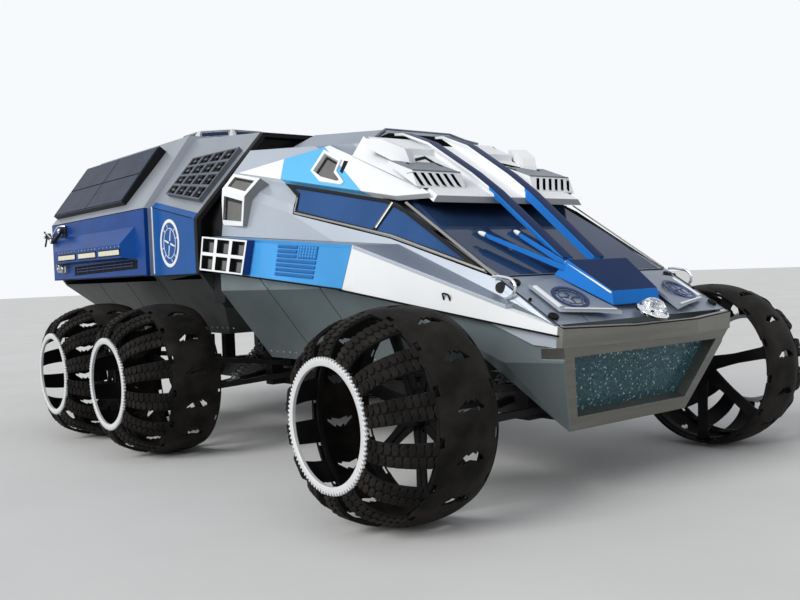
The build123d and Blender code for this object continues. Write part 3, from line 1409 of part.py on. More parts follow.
def build_seats():
    """Four seats on pedestals, facing forward."""
    up = (Align.CENTER, Align.CENTER, Align.MIN)
    cushion_z = SEAT_FOOT[2]
    back_z = cushion_z + SEAT_CUSHION[2] / 2
    seat = Box(*SEAT_FOOT, align=up) + Pos(0, 0, cushion_z) * Box(*SEAT_CUSHION, align=up)
    back = Box(*SEAT_BACK, align=up) + Pos(0, 0, SEAT_BACK[2]) * Box(*SEAT_HEAD, align=up)
    seat += Pos(0, SEAT_BACK_Y, back_z) * Rot(SEAT_BACK_LEAN, 0, 0) * back
    seats = [Pos(x, y, SEAT_FLOOR) * seat for x, y in SEAT_PLACES]
    return seats[0] + seats[1:]


def build_helm():
    """The dashboard across the cockpit with a steering yoke in front of the left seat."""
    y0, y1 = HELM_Y
    base_z = ARCH_TOP_Z + WALL
    points = [(y0, base_z), (y1, base_z), *HELM_FACE, (y0, HELM_TOP_Z - HELM_FALL)]
    body = side_profile(points, HELM_X)
    x, y, z = YOKE_AT
    body += tube_between((x, y1, z - YOKE_RISE), YOKE_AT, YOKE_R)
    body += tube_between((x - YOKE_HALF, y, z), (x + YOKE_HALF, y, z), YOKE_R)
    for grip_x in (x - YOKE_HALF, x + YOKE_HALF):
        body += tube_between((grip_x, y, z - YOKE_GRIP), (grip_x, y, z + YOKE_GRIP), YOKE_R)
    return body


if __name__ == "__main__":
    belt = build_belt()
    door = build_door()
    door_glass = build_door_glass()
    visor = build_visor()
    lab_sides = lab_side_panels()
    knuckle = build_knuckle()
    pane_glass = build_pane_glass()
    side_panel = build_side_panel()
    side_panels = side_panel + mirrored(side_panel)
    port_frame = build_port_frame()
    quarter_bay = build_quarter_bay()
    small_panes = pane_glass + build_port_glass() + build_quarter_glass()
    vent = build_vent()
    solar = build_solar_panel()
    grille = build_grille()
    lamp_hood = build_lamp_hood()
    light_bars = build_light_bars()
    bracket = build_bracket()
    pane_box = build_pane_box()
    parts = {
        "chassis_frame": build_chassis(),
        "body_posts": build_posts(),
        "spring_towers": build_towers(),
        "front_arms": build_front_arms(),
        "rear_arms": build_rear_arms(),
        "shocks": build_shocks(),
        "battery_block": box_between(
            (-BATTERY_X, BATTERY_Y[0], BATTERY_Z[0]), (BATTERY_X, BATTERY_Y[1], BATTERY_Z[1])
        ),
        "cab_shell": build_cab() + (build_spine() - visor - side_panels),
        "hood": build_hood(),
        "nose_frame": build_nose_frame(),
        "nose_glass": build_nose_glass(),
        "cockpit_hull": build_hull(),
        "belt_left": belt,
        "belt_right": mirrored(belt),
        "door_left": door,
        "door_right": mirrored(door),
        "door_glass_left": door_glass,
        "door_glass_right": mirrored(door_glass),
        "windshield": build_windshield(),
        "visor": visor,
        "side_panels": side_panels,
        "vent_boxes": vent + mirrored(vent),
        "twin_rails": build_rails(),
        "nose_block": build_nose_block(),
        "hood_brackets": bracket + mirrored(bracket),
        "lamp_dome": build_dome(),
        "window_boxes": pane_box + mirrored(pane_box),
        "window_panes": small_panes + mirrored(small_panes),
        "port_frames": port_frame + mirrored(port_frame),
        "quarter_bays": quarter_bay + mirrored(quarter_bay),
        "tool_arm": build_tool_arm(),
        "seats": build_seats(),
        "helm_console": build_helm(),
        "lab_shell": build_lab_shell(lab_sides),
        "lab_hull": build_lab_hull(),
        "lab_sides": lab_sides,
        "lab_frame": build_lab_frame(),
        "solar_panels": solar + mirrored(solar),
        "roof_grilles": grille + mirrored(grille),
        "lamp_hoods": lamp_hood + mirrored(lamp_hood),
        "light_bars": light_bars + mirrored(light_bars),
        "cupola": build_cupola(),
        "lab_door": build_lab_door(),
        "knuckle_left": knuckle,
        "knuckle_right": mirrored(knuckle),
    }
    wheel = build_wheel()
    ring = build_ring()
    for side, tag in ((1, "left"), (-1, "right")):
        for station in WHEEL_STATIONS:
            parts[f"wheel_{station}_{tag}"] = placed_wheel(wheel, side, station)
            parts[f"ring_{station}_{tag}"] = placed_wheel(ring, side, station)
    for name, piece in parts.items():
        export_step(piece, f"parts/{name}.step")
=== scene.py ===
import bpy
import numpy as np
from mathutils import Matrix, Vector


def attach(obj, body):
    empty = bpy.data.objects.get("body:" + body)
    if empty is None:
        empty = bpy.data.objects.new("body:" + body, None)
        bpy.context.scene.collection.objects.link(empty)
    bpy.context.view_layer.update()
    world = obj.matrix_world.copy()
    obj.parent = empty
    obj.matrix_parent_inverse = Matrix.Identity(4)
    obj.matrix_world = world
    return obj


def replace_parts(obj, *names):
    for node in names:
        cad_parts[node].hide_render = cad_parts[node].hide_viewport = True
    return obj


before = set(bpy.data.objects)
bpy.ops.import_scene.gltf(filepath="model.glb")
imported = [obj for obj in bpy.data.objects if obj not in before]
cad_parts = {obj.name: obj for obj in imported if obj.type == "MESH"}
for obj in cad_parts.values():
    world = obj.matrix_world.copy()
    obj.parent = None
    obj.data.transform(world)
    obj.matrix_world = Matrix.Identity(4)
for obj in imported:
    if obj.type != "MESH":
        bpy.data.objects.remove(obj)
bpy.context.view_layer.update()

# Ladder frame, wishbones and uprights. Welded steel sections in satin black, bolted under the
# cockpit and the laboratory; the arms pivot on the frame's rails and carry the wheels' uprights.
BLACK_STEEL = (0.022, 0.022, 0.024)
ROAD_DUST = (0.19, 0.175, 0.155)
PLAIN_GLOSS = 0.06
GRAIN_DEEP = 0.002
EDGE_ROUND = 0.004


def tint(colour, share):
    """The colour made lighter or darker by a share."""
    return tuple(min(1.0, max(0.0, c * (1.0 + share))) for c in colour)


def link_up(tree, pairs):
    """Wires a node tree: each row is (from socket, to socket)."""
    for out, into in pairs:
        tree.links.new(out, into)


def new_finish(name, rough, metal, coat=0.0):
    """An empty finish: its shader with the values that are the same all over the surface."""
    material = bpy.data.materials.new(name)
    material.use_nodes = True
    shader = material.node_tree.nodes["Principled BSDF"]
    shader.inputs["Metallic"].default_value = metal
    shader.inputs["Roughness"].default_value = rough
    shader.inputs["Coat Weight"].default_value = coat
    shader.inputs["Specular IOR Level"].default_value = PLAIN_GLOSS
    shader.inputs["Coat Roughness"].default_value = 0.08
    return material, material.node_tree, shader


def noise(tree, scale, detail=4.0, stretch=(1.0, 1.0, 1.0)):
    """A noise over the object's own metres, stretched along its axes; gives the value socket."""
    place = tree.nodes.new("ShaderNodeTexCoord")
    spread = tree.nodes.new("ShaderNodeMapping")
    grain = tree.nodes.new("ShaderNodeTexNoise")
    spread.inputs["Scale"].default_value = stretch
    grain.inputs["Scale"].default_value = scale
    grain.inputs["Detail"].default_value = detail
    link_up(tree, [(place.outputs["Object"], spread.inputs["Vector"]),
                   (spread.outputs["Vector"], grain.inputs["Vector"])])
    return grain.outputs["Fac"]


def spread_to(tree, value, low, high, start=0.35, end=0.65):
    """The value from start to end brought to low to high."""
    fit = tree.nodes.new("ShaderNodeMapRange")
    for socket, number in zip(("From Min", "From Max", "To Min", "To Max"), (start, end, low, high)):
        fit.inputs[socket].default_value = number
    tree.links.new(value, fit.inputs["Value"])
    return fit.outputs["Result"]


def blend_to(tree, share, under, over):
    """Two colours, or colour sockets, mixed by a share socket."""
    mix = tree.nodes.new("ShaderNodeMix")
    mix.data_type = "RGBA"
    tree.links.new(share, mix.inputs["Factor"])
    for socket, colour in ((mix.inputs["A"], under), (mix.inputs["B"], over)):
        if isinstance(colour, bpy.types.NodeSocket):
            tree.links.new(colour, socket)
        else:
            socket.default_value = (*colour, 1.0)
    return mix.outputs["Result"]


def figure(tree, operation, *values):
    """One step of arithmetic on value sockets and plain numbers; gives the result's socket."""
    node = tree.nodes.new("ShaderNodeMath")
    node.operation = operation
    for socket, value in zip(node.inputs, values):
        if isinstance(value, bpy.types.NodeSocket):
            tree.links.new(value, socket)
        else:
            socket.default_value = value
    return node.outputs["Value"]


def times(tree, a, b):
    """The product of two values."""
    return figure(tree, "MULTIPLY", a, b)


def place_axis(tree, axis):
    """The place of the surface along an axis, in metres."""
    place = tree.nodes.new("ShaderNodeTexCoord")
    split = tree.nodes.new("ShaderNodeSeparateXYZ")
    tree.links.new(place.outputs["Object"], split.inputs["Vector"])
    return split.outputs[axis]


def clouded(tree, cloudy, colour, darker, lighter):
    """A colour that drifts with a cloud socket from a darker to a lighter tint of itself."""
    return blend_to(tree, cloudy, tint(colour, -darker), tint(colour, lighter))


def emboss(tree, shader, height, strength, deep, normal=None):
    """A bump that follows a height, over the rounded normal where there is one."""
    lift = tree.nodes.new("ShaderNodeBump")
    lift.inputs["Strength"].default_value = strength
    lift.inputs["Distance"].default_value = deep
    link_up(tree, [(height, lift.inputs["Height"]), (lift.outputs["Normal"], shader.inputs["Normal"])])
    if normal is not None:
        tree.links.new(normal, lift.inputs["Normal"])


def lay_on(tree, shader, base, rounded, low, high, grain, bump, stretch=(1.0, 1.0, 1.0)):
    """Lays a colour on the shader: one fine grain drives its roughness, from low to high, and a
    bump over the rounded edges."""
    fine = noise(tree, grain, 3.0, stretch)
    link_up(tree, [(base, shader.inputs["Base Color"]),
                   (spread_to(tree, fine, low, high), shader.inputs["Roughness"])])
    emboss(tree, shader, fine, bump, GRAIN_DEEP, rounded)


def worn_edge(tree, radius):
    """Near 1 along sharp edges and 0 on the flats, broken up by a noise; also the rounded normal."""
    round_off = tree.nodes.new("ShaderNodeBevel")
    round_off.samples = 4
    round_off.inputs["Radius"].default_value = radius
    flat = tree.nodes.new("ShaderNodeNewGeometry")
    agree = tree.nodes.new("ShaderNodeVectorMath")
    agree.operation = "DOT_PRODUCT"
    link_up(tree, [(round_off.outputs["Normal"], agree.inputs[0]),
                   (flat.outputs["Normal"], agree.inputs[1])])
    edge = spread_to(tree, agree.outputs["Value"], 1.0, 0.0, 0.80, 0.985)
    broken = spread_to(tree, noise(tree, 22.0, 6.0), 0.0, 1.0, 0.38, 0.62)
    return times(tree, edge, broken), round_off.outputs["Normal"]


def low_dust(tree, top, foot):
    """More dust towards the ground: 1 below foot and 0 above top, in patches."""
    fall = spread_to(tree, place_axis(tree, "Z"), 1.0, 0.0, foot, top)
    return times(tree, fall, spread_to(tree, noise(tree, 6.5, 8.0), 0.1, 1.0, 0.38, 0.66))


def skin(name, colour, rough=0.4, metal=0.0, coat=0.0, vary=0.08, cloud=1.6, grain=70.0, bump=0.05,
         edge=EDGE_ROUND, wear=0.35, bare=None, dust=0.0, dust_top=1.0, stretch=(1.0, 1.0, 1.0)):
    """A sprayed, cast or moulded surface. Its colour drifts in soft clouds, its gloss and a fine
    bump follow a grain, its edges are rounded and rubbed to a bare tone, and dust lies low down."""
    material, tree, shader = new_finish(name, rough, metal, coat)
    cloudy = spread_to(tree, noise(tree, cloud, 5.0, stretch), 0.0, 1.0)
    base = clouded(tree, cloudy, colour, vary, vary)
    rubbed, rounded = worn_edge(tree, edge)
    base = blend_to(tree, times(tree, rubbed, wear), base, bare or tint(colour, 0.6))
    if dust:
        base = blend_to(tree, times(tree, low_dust(tree, dust_top, 0.0), dust), base, ROAD_DUST)
    lay_on(tree, shader, base, rounded, rough - 0.07, rough + 0.09, grain, bump, stretch)
    return material


def dress(material, *nodes):
    """Gives CAD pieces their finish."""
    for node in nodes:
        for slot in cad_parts[node].material_slots:
            slot.material = material


black_steel = skin("satin_black_steel", BLACK_STEEL, 0.42, 0.25, vary=0.25, bare=(0.16, 0.16, 0.165),
                   dust=0.12, dust_top=0.9)
dress(black_steel, "chassis_frame", "body_posts", "spring_towers", "front_arms", "rear_arms",
      "knuckle_left", "knuckle_right")
dress(skin("battery_casing", (0.05, 0.052, 0.055), 0.55, 0.0, dust=0.3), "battery_block")


# Spring and damper units. A steel damper body and rod inside a wound spring, held in forks on the
# lower arm and on the frame's towers.
SHOCK_STATIONS = (-2.944, 0.367, 1.758)
SHOCK_FOOT = (1.010, 0.555)
SHOCK_HEAD = (0.650, 0.880)
SPRING_TURNS = 8.5
SPRING_WIRE = 0.0065
SPRING_RADIUS = 0.0395
ACROSS, ALONG, UP = (1.0, 0.0, 0.0), (0.0, 1.0, 0.0), (0.0, 0.0, 1.0)


def make_piece(name, points, faces, material, body, slot, smooth=35.0, thickness=0.0):
    """A mesh piece from its points and its faces, thickened inwards if asked, shaded smooth except
    across edges sharper than smooth degrees, and riding on a body."""
    mesh = bpy.data.meshes.new(name)
    mesh.from_pydata(np.asarray(points, float).reshape(-1, 3), [], faces)
    mesh.validate()
    piece = bpy.data.objects.new(name, mesh)
    bpy.context.scene.collection.objects.link(piece)
    if thickness:
        shell = piece.modifiers.new("thickness", "SOLIDIFY")
        shell.thickness = thickness
        shell.offset = -1.0
        shell.use_even_offset = True
        made = bpy.data.meshes.new_from_object(piece.evaluated_get(bpy.context.evaluated_depsgraph_get()))
        piece.modifiers.clear()
        piece.data = made
        made.name = name
    mesh = piece.data
    mesh.materials.clear()
    mesh.materials.append(material)
    mesh.polygons.foreach_set("use_smooth", np.ones(len(mesh.polygons), bool))
    mesh.set_sharp_from_angle(angle=np.radians(smooth))
    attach(piece, body)
    return piece


def grid_faces(rows, columns, close_rows=False, close_columns=False, first=0):
    """The four-sided faces of a grid of points, closed round either way if asked."""
    i = np.arange(rows if close_rows else rows - 1)
    j = np.arange(columns if close_columns else columns - 1)
    i, j = (a.ravel() for a in np.meshgrid(i, j, indexing="ij"))
    up, on = (i + 1) % rows, (j + 1) % columns
    quads = np.stack([i * columns + j, i * columns + on, up * columns + on, up * columns + j], 1)
    return (quads + first).tolist()


def flipped(faces):
    """The faces turned to look the other way."""
    return [face[::-1] for face in faces]


def units(rows):
    """Each row at length one."""
    return rows / np.linalg.norm(rows, axis=1, keepdims=True)


def full_turn(count):
    """Equal turns round a circle."""
    return np.linspace(0.0, 2.0 * np.pi, count, endpoint=False)


def joined(parts):
    """Several (points, faces) shapes as one."""
    points, faces, count = [], [], 0
    for shape_points, shape_faces in parts:
        shape_points = np.asarray(shape_points, float).reshape(-1, 3)
        points.append(shape_points)
        faces += [[v + count for v in face] for face in shape_faces]
        count += len(shape_points)
    return np.concatenate(points), faces


def rod_along(path, radius, sides=12):
    """A round rod: a circle of the radius carried along a path, in the plane across it at each
    point, with flat ends. The radius may be one number or one for each point of the path."""
    path = np.asarray(path, float)
    ahead = np.gradient(path, axis=0)
    ahead = units(ahead)
    guide = np.array(UP) if abs(ahead[0, 2]) < 0.9 else np.array(ACROSS)
    side = np.cross(ahead, guide)
    side = units(side)
    over = np.cross(side, ahead)
    turn = full_turn(sides)
    reach = np.broadcast_to(np.asarray(radius, float), (len(path),))[:, None, None]
    ring = np.cos(turn)[None, :, None] * side[:, None] + np.sin(turn)[None, :, None] * over[:, None]
    points = path[:, None] + reach * ring
    faces = flipped(grid_faces(len(path), sides, close_columns=True))
    last = (len(path) - 1) * sides
    faces += [list(range(sides)), [last + k for k in reversed(range(sides))]]
    return points.reshape(-1, 3), faces


def unit(vector):
    """The vector at length one."""
    vector = np.asarray(vector, float)
    return vector / np.linalg.norm(vector)


def turned_about(start, axis, profile, sides=32):
    """A turned shape: (distance along the axis, radius) points swept round an axis from start.
    Rows of zero radius close it."""
    axis = unit(axis)
    guide = np.array(UP) if abs(axis[2]) < 0.9 else np.array(ACROSS)
    side = unit(np.cross(axis, guide))
    over = np.cross(axis, side)
    profile = np.asarray(profile, float)
    turn = full_turn(sides)
    ring = np.cos(turn)[:, None] * side + np.sin(turn)[:, None] * over
    points = np.asarray(start) + profile[:, 0, None, None] * axis + profile[:, 1, None, None] * ring[None]
    return points.reshape(-1, 3), grid_faces(len(profile), sides, close_columns=True)


dampers, springs = [], []
for station in SHOCK_STATIONS:
    for hand in (-1.0, 1.0):
        foot = np.array([hand * SHOCK_FOOT[0], station, SHOCK_FOOT[1]])
        head = np.array([hand * SHOCK_HEAD[0], station, SHOCK_HEAD[1]])
        run = head - foot
        length = np.linalg.norm(run)
        body_profile = [(0.02, 0.0), (0.02, 0.024), (0.06, 0.028), (0.07, 0.044), (0.082, 0.044),
                        (0.085, 0.026), (0.26, 0.026), (0.262, 0.012), (length - 0.07, 0.012),
                        (length - 0.068, 0.045), (length - 0.052, 0.045), (length - 0.05, 0.022),
                        (length - 0.02, 0.022), (length - 0.02, 0.0)]
        dampers.append(turned_about(foot, run, body_profile, 24))
        for end in (foot, head):
            eye = [(-0.056, 0.0), (-0.056, 0.02), (0.056, 0.02), (0.056, 0.0)]
            dampers.append(turned_about(end, ALONG, eye, 20))
        along = unit(run)
        side = np.array(ALONG)
        over = np.cross(along, side)
        step = np.linspace(0.0, 1.0, 170)
        turn = 2.0 * np.pi * SPRING_TURNS * step
        climb = 0.088 + (length - 0.162) * step
        coil = (foot + climb[:, None] * along + SPRING_RADIUS * np.cos(turn)[:, None] * side
                + SPRING_RADIUS * np.sin(turn)[:, None] * over)
        springs.append(rod_along(coil, SPRING_WIRE, 8))
damper_steel = skin("damper_steel", (0.32, 0.33, 0.34), 0.33, 0.85, vary=0.15, grain=160.0, dust=0.2)
spring_paint = skin("spring_enamel", (0.10, 0.10, 0.105), 0.3, 0.3, coat=0.3, dust=0.2)
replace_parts(make_piece("damper_units", *joined(dampers), damper_steel, "body", "shock_metal"), "shocks")
make_piece("wound_springs", *joined(springs), spring_paint, "body", "shock_metal", 60.0)


# Cage wheels. A crowned tread band pierced with arrow-shaped cut-outs, fourteen curved slats that
# carry rubber scale pads out to a toothed ring, and a spoked hub inside; the cage is black throughout.
WHEEL_STATIONS = {"front": -2.944, "mid": 0.367, "rear": 1.758}
WHEEL_RADIUS = 0.655
WHEEL_INBOARD = 1.420
TREAD_WIDTH = 0.450
TREAD_THICK = 0.015
CELLS = 14
CELL = 2.0 * np.pi / CELLS
SLAT_LINE = ((0.395, 0.596), (0.46, 0.602), (0.52, 0.585), (0.58, 0.562), (0.64, 0.530), (0.69, 0.492),
             (0.722, 0.446), (0.738, 0.400), (0.739, 0.372))
SLAT_HALF_ROOT = 0.078
SLAT_HALF_TIP = 0.060
SLAT_HALF_THICK = 0.007
PAD_ROWS = 10
PAD_HIGH = 0.009
RING_TEETH = 88
RING_BOLTS = 16
HUB_SPOKES = 7


def crown(x):
    """The tread band's radius at a place across it: highest in the middle, falling to both rims."""
    off = np.abs(np.asarray(x) / TREAD_WIDTH - 0.5) * 2.0
    return WHEEL_RADIUS - 0.003 - 0.040 * off ** 2.6


def on_wheel(x, turn, radius):
    """Points of a wheel lying on its own axis, x outwards from its inboard rim."""
    x, turn, radius = np.broadcast_arrays(x, turn, radius)
    return np.stack([x, radius * np.sin(turn), radius * np.cos(turn)], -1)


def tread_band():
    """A drum over (turn, width). Its grid lines lean into chevrons, so that the faces left out of
    the grid are arrow-shaped cut-outs in the middle and small notches along both rims."""
    across = np.array([0.0, 0.018, 0.038, 0.06, 0.095, 0.125, 0.160, 0.195, 0.225, 0.255, 0.290, 0.325,
                       0.355, 0.385, 0.410, 0.430, 0.450])
    share = np.array([0.0, 0.11, 0.22, 0.32, 0.41, 0.5, 0.59, 0.68, 0.78, 0.89])
    middle = TREAD_WIDTH / 2.0
    reach = np.clip(np.abs(across - middle) / 0.10, 0.0, 1.0)
    lean = 0.20 * reach + 0.06 * np.clip((np.abs(across - middle) - 0.10) / 0.125, 0.0, 1.0)
    squeeze = np.where(np.abs(across - middle) <= 0.101, 1.0 - 0.62 * reach, 0.9)
    local = share[None, :] - 0.5
    local = np.where(np.abs(local) < 0.19, local * squeeze[:, None], local) + 0.5
    turn = (np.arange(CELLS)[None, :, None] + local[:, None, :] - lean[:, None, None] + 0.5) * CELL
    turn = turn.reshape(len(across), -1)
    points = on_wheel(across[:, None], turn, crown(across)[:, None])
    columns = turn.shape[1]
    faces = np.array(grid_faces(len(across), columns, close_columns=True))
    row, column = np.divmod(np.arange(len(faces)), columns)
    place = column % len(share)
    arrow = (row >= 6) & (row <= 9) & (place >= 3) & (place <= 5)
    arrow |= ((row == 5) | (row == 10)) & (place >= 4) & (place <= 5)
    arrow &= ~((row >= 7) & (row <= 8) & (place == 5))
    notch = ((row >= 14) | (row <= 1)) & ((place == 0) | (place == 9))
    return points, faces[~(arrow | notch)].tolist()


def rim_bead(x, radius):
    """A raised bead round one rim of the band."""
    turn = full_turn(112)
    section = full_turn(8)
    points = on_wheel(x + 0.006 * np.cos(section)[None, :], turn[:, None],
                      radius + 0.007 * np.sin(section)[None, :])
    return points, flipped(grid_faces(112, 8, True, True))


def slat_course(step):
    """The slat's middle line from the band to the ring: (x, radius) eased through its knees."""
    line = np.array(SLAT_LINE)
    knots = np.linspace(0.0, 1.0, len(line))
    fine = np.stack([np.interp(step, knots, line[:, k]) for k in (0, 1)], -1)
    for _ in range(3):
        fine[1:-1] = (fine[:-2] + 2.0 * fine[1:-1] + fine[2:]) / 4.0
    return fine


def slat_frame(count):
    """Places along the slat, the outward direction there and its half width."""
    step = np.linspace(0.0, 1.0, count)
    line = slat_course(step)
    ahead = np.gradient(line, axis=0)
    ahead = units(ahead)
    out = np.stack([-ahead[:, 1], ahead[:, 0]], -1)
    half = SLAT_HALF_ROOT + (SLAT_HALF_TIP - SLAT_HALF_ROOT) * step
    return line, out, half


def slat_shape():
    """One slat: a rounded flat section carried along its course, standing straight up in turn."""
    line, out, half = slat_frame(22)
    edge = np.array([(-1.0, -0.4), (-0.97, -1.0), (-0.5, -1.0), (0.5, -1.0), (0.97, -1.0), (1.0, -0.4),
                     (1.0, 0.4), (0.97, 1.0), (0.5, 1.0), (-0.5, 1.0), (-0.97, 1.0), (-1.0, 0.4)])
    flat = line[:, None] + edge[None, :, 1:2] * SLAT_HALF_THICK * out[:, None]
    side = edge[None, :, 0] * half[:, None]
    points = np.stack([flat[..., 0], side, flat[..., 1]], -1)
    faces = grid_faces(22, 12, close_columns=True)
    faces += [list(reversed(range(12))), [21 * 12 + k for k in range(12)]]
    return points.reshape(-1, 3), faces


def pad_shapes():
    """The scale pads of one slat: two rows of pointed six-sided pads with a smaller flat top."""
    line, out, half = slat_frame(200)
    shapes = []
    for row in range(PAD_ROWS):
        for column in (-1.0, 1.0):
            at = (row + (0.25 if column < 0 else 0.75)) / PAD_ROWS * 0.84 + 0.07
            length = 0.088 * 0.5
            outline = np.array([(-1.0, 0.0), (-0.45, 0.92), (0.5, 0.92), (1.0, 0.25), (0.5, -0.92),
                                (-0.45, -0.92)])
            rings = []
            for size, lift in ((1.0, 0.4), (0.96, 0.8), (0.80, 1.0)):
                index = np.clip((at + outline[:, 0] * length * size) * 199, 0, 199)
                low = np.floor(index).astype(int)
                place = line[low]
                normal = out[low]
                width = half[low]
                height = SLAT_HALF_THICK + (lift - 0.4) / 0.6 * PAD_HIGH
                flat = place + normal * height
                side = width * (column * 0.5 + outline[:, 1] * 0.50 * size)
                rings.append(np.stack([flat[:, 0], side, flat[:, 1]], -1))
            points = np.concatenate(rings)
            faces = grid_faces(3, 6, close_columns=True) + [[12, 13, 14, 15, 16, 17]]
            shapes.append((points, faces))
    return joined(shapes)


def around(shape, count, start=0.5):
    """Copies of a shape at equal turns about the wheel's axis."""
    points, faces = shape
    copies = []
    for k in range(count):
        turn = (k + start) * 2.0 * np.pi / count
        spin = np.array([[1.0, 0.0, 0.0], [0.0, np.cos(turn), np.sin(turn)],
                         [0.0, -np.sin(turn), np.cos(turn)]])
        copies.append((np.asarray(points) @ spin.T, faces))
    return joined(copies)


def toothed_ring():
    """A flat ring whose outer edge swells and dips once for each tooth; its two faces are flat and
    its corners are rounded over a few millimetres."""
    turn = full_turn(RING_TEETH * 6)
    wave = np.clip(np.cos(turn * RING_TEETH) * 1.6, -1.0, 1.0)
    outer = 0.3845 + 0.0075 * wave
    inner = np.full_like(outer, 0.3405)
    rows = [(0.740, inner), (0.7400, outer - 0.003), (0.743, outer), (0.7595, outer),
            (0.7625, outer - 0.0035), (0.7628, outer - 0.010), (0.7628, inner + 0.004), (0.760, inner)]
    points = np.stack([on_wheel(x, turn, radius) for x, radius in rows])
    return points, flipped(grid_faces(len(rows), len(turn), True, True))


def ring_bolts():
    """Dark cap screws round the ring."""
    profile = [(0.0, 0.0095), (0.0005, 0.0095), (0.0012, 0.0085), (0.0013, 0.004), (0.0, 0.0035),
               (0.0, 0.0)]
    head = turned_about((0.7615, 0.0, 0.365), ACROSS, profile, 12)
    return around(head, RING_BOLTS)


def hub_shape():
    """The hub: a stepped drum with a flange, turned about the axle."""
    profile = [(-0.040, 0.047), (-0.040, 0.10), (-0.030, 0.105), (0.055, 0.105), (0.058, 0.135),
               (0.078, 0.135), (0.082, 0.098), (0.150, 0.092), (0.158, 0.084), (0.168, 0.062), (0.170, 0.0)]
    return turned_about((0.0, 0.0, 0.0), ACROSS, profile, 40)


def spoke_shape():
    """One spoke: a box section that tapers from the hub to the band, with a raised rib outside."""
    reach = np.linspace(0.095, 0.625, 8)
    half = np.interp(reach, (0.095, 0.3, 0.56, 0.625), (0.058, 0.040, 0.046, 0.070))
    section = np.array([(-1.0, 0.060), (-1.0, 0.078), (-0.3, 0.080), (-0.22, 0.092), (0.22, 0.092),
                        (0.3, 0.080), (1.0, 0.078), (1.0, 0.060)])
    points = np.stack([np.broadcast_to(section[None, :, 1], (8, 8)), half[:, None] * section[None, :, 0],
                       np.broadcast_to(reach[:, None], (8, 8))], -1)
    faces = flipped(grid_faces(8, 8, close_columns=True))
    return points.reshape(-1, 3), faces + [list(range(8)), [56 + k for k in reversed(range(8))]]


def hub_nuts():
    """Wheel nuts on the hub's flange."""
    profile = [(0.0, 0.012), (0.012, 0.012), (0.014, 0.009), (0.014, 0.0)]
    nut = turned_about((0.078, 0.0, 0.118), ACROSS, profile, 6)
    return around(nut, 10)


def inner_hoop(x, radius, width):
    """A flat hoop inside the cage that ties the slats' roots or the spokes together."""
    turn = full_turn(112)
    section = np.array([(0.0, -0.006), (width, -0.006), (width, 0.006), (0.0, 0.006)])
    points = on_wheel(x + section[None, :, 0], turn[:, None], radius + section[None, :, 1])
    return points, grid_faces(112, 4, True, True)


def rubber_black():
    """Matt black rubber: a broad patchy grime, a sandy grain and dust that stays in the low spots."""
    material, tree, shader = new_finish("cage_rubber", 0.62, 0.0)
    patch = spread_to(tree, noise(tree, 5.0, 7.0), 0.0, 1.0, 0.40, 0.68)
    base = blend_to(tree, patch, (0.0075, 0.0070, 0.0064), (0.024, 0.021, 0.0185))
    rubbed, rounded = worn_edge(tree, EDGE_ROUND)
    base = blend_to(tree, rubbed, base, (0.036, 0.032, 0.029))
    grit = noise(tree, 210.0, 4.0)
    link_up(tree, [(base, shader.inputs["Base Color"]),
                   (spread_to(tree, grit, 0.48, 0.78), shader.inputs["Roughness"])])
    emboss(tree, shader, grit, 0.25, 0.003, rounded)
    return material


cage_rubber = rubber_black()
cage_steel = skin("cage_steel", (0.008, 0.008, 0.0085), 0.50, 0.0, vary=0.3, grain=120.0, bump=0.12,
                  bare=(0.06, 0.057, 0.054), wear=0.4, dust=0.06, dust_top=1.4)
ring_metal = skin("ring_aluminium", (0.66, 0.67, 0.68), 0.36, 0.25, vary=0.05, grain=240.0, bump=0.04,
                  bare=(0.85, 0.85, 0.86), dust=0.12, dust_top=0.8)
bolt_black = skin("black_cap_screws", (0.02, 0.02, 0.022), 0.35, 0.5, grain=200.0)

hub_pieces = [hub_shape(), around(spoke_shape(), HUB_SPOKES), hub_nuts(), inner_hoop(0.052, 0.590, 0.06),
              inner_hoop(0.400, 0.580, 0.03), rim_bead(0.007, 0.611), rim_bead(0.443, 0.611)]
cage_parts = {
    "slats": (around(slat_shape(), CELLS, 0.0), cage_steel, "wheel_black", 40.0),
    "pads": (around(pad_shapes(), CELLS, 0.0), cage_rubber, "wheel_black", 20.0),
    "hub": (joined(hub_pieces), cage_steel, "wheel_black", 35.0),
    "ring": (toothed_ring(), ring_metal, "ring_white", 40.0),
    "bolts": (ring_bolts(), bolt_black, "wheel_black", 30.0),
}
band_points, band_faces = tread_band()


def set_on_axle(points, hand, station):
    """A wheel's points in the vehicle, on the left (+1) or the right (-1)."""
    placed = np.asarray(points, float).reshape(-1, 3) + (WHEEL_INBOARD, 0.0, 0.0)
    placed = placed * (hand, 1.0, 1.0)
    return placed + (0.0, WHEEL_STATIONS[station], WHEEL_RADIUS)


for station in WHEEL_STATIONS:
    for hand, tag in ((1.0, "left"), (-1.0, "right")):
        body = f"wheel_{station}_{tag}"
        for part, (shape, material, slot, smooth) in cage_parts.items():
            points, faces = shape
            if hand < 0:
                faces = flipped(faces)
            piece = make_piece(f"{body}_{part}", set_on_axle(points, hand, station), faces, material, body,
                               slot, smooth)
            if part == "ring":
                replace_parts(piece, f"ring_{station}_{tag}")
        faces = band_faces if hand < 0 else flipped(band_faces)
        band = make_piece(f"{body}_tread", set_on_axle(band_points, hand, station), faces, cage_rubber,
                          body, "wheel_black", 40.0, TREAD_THICK)
        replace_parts(band, body)


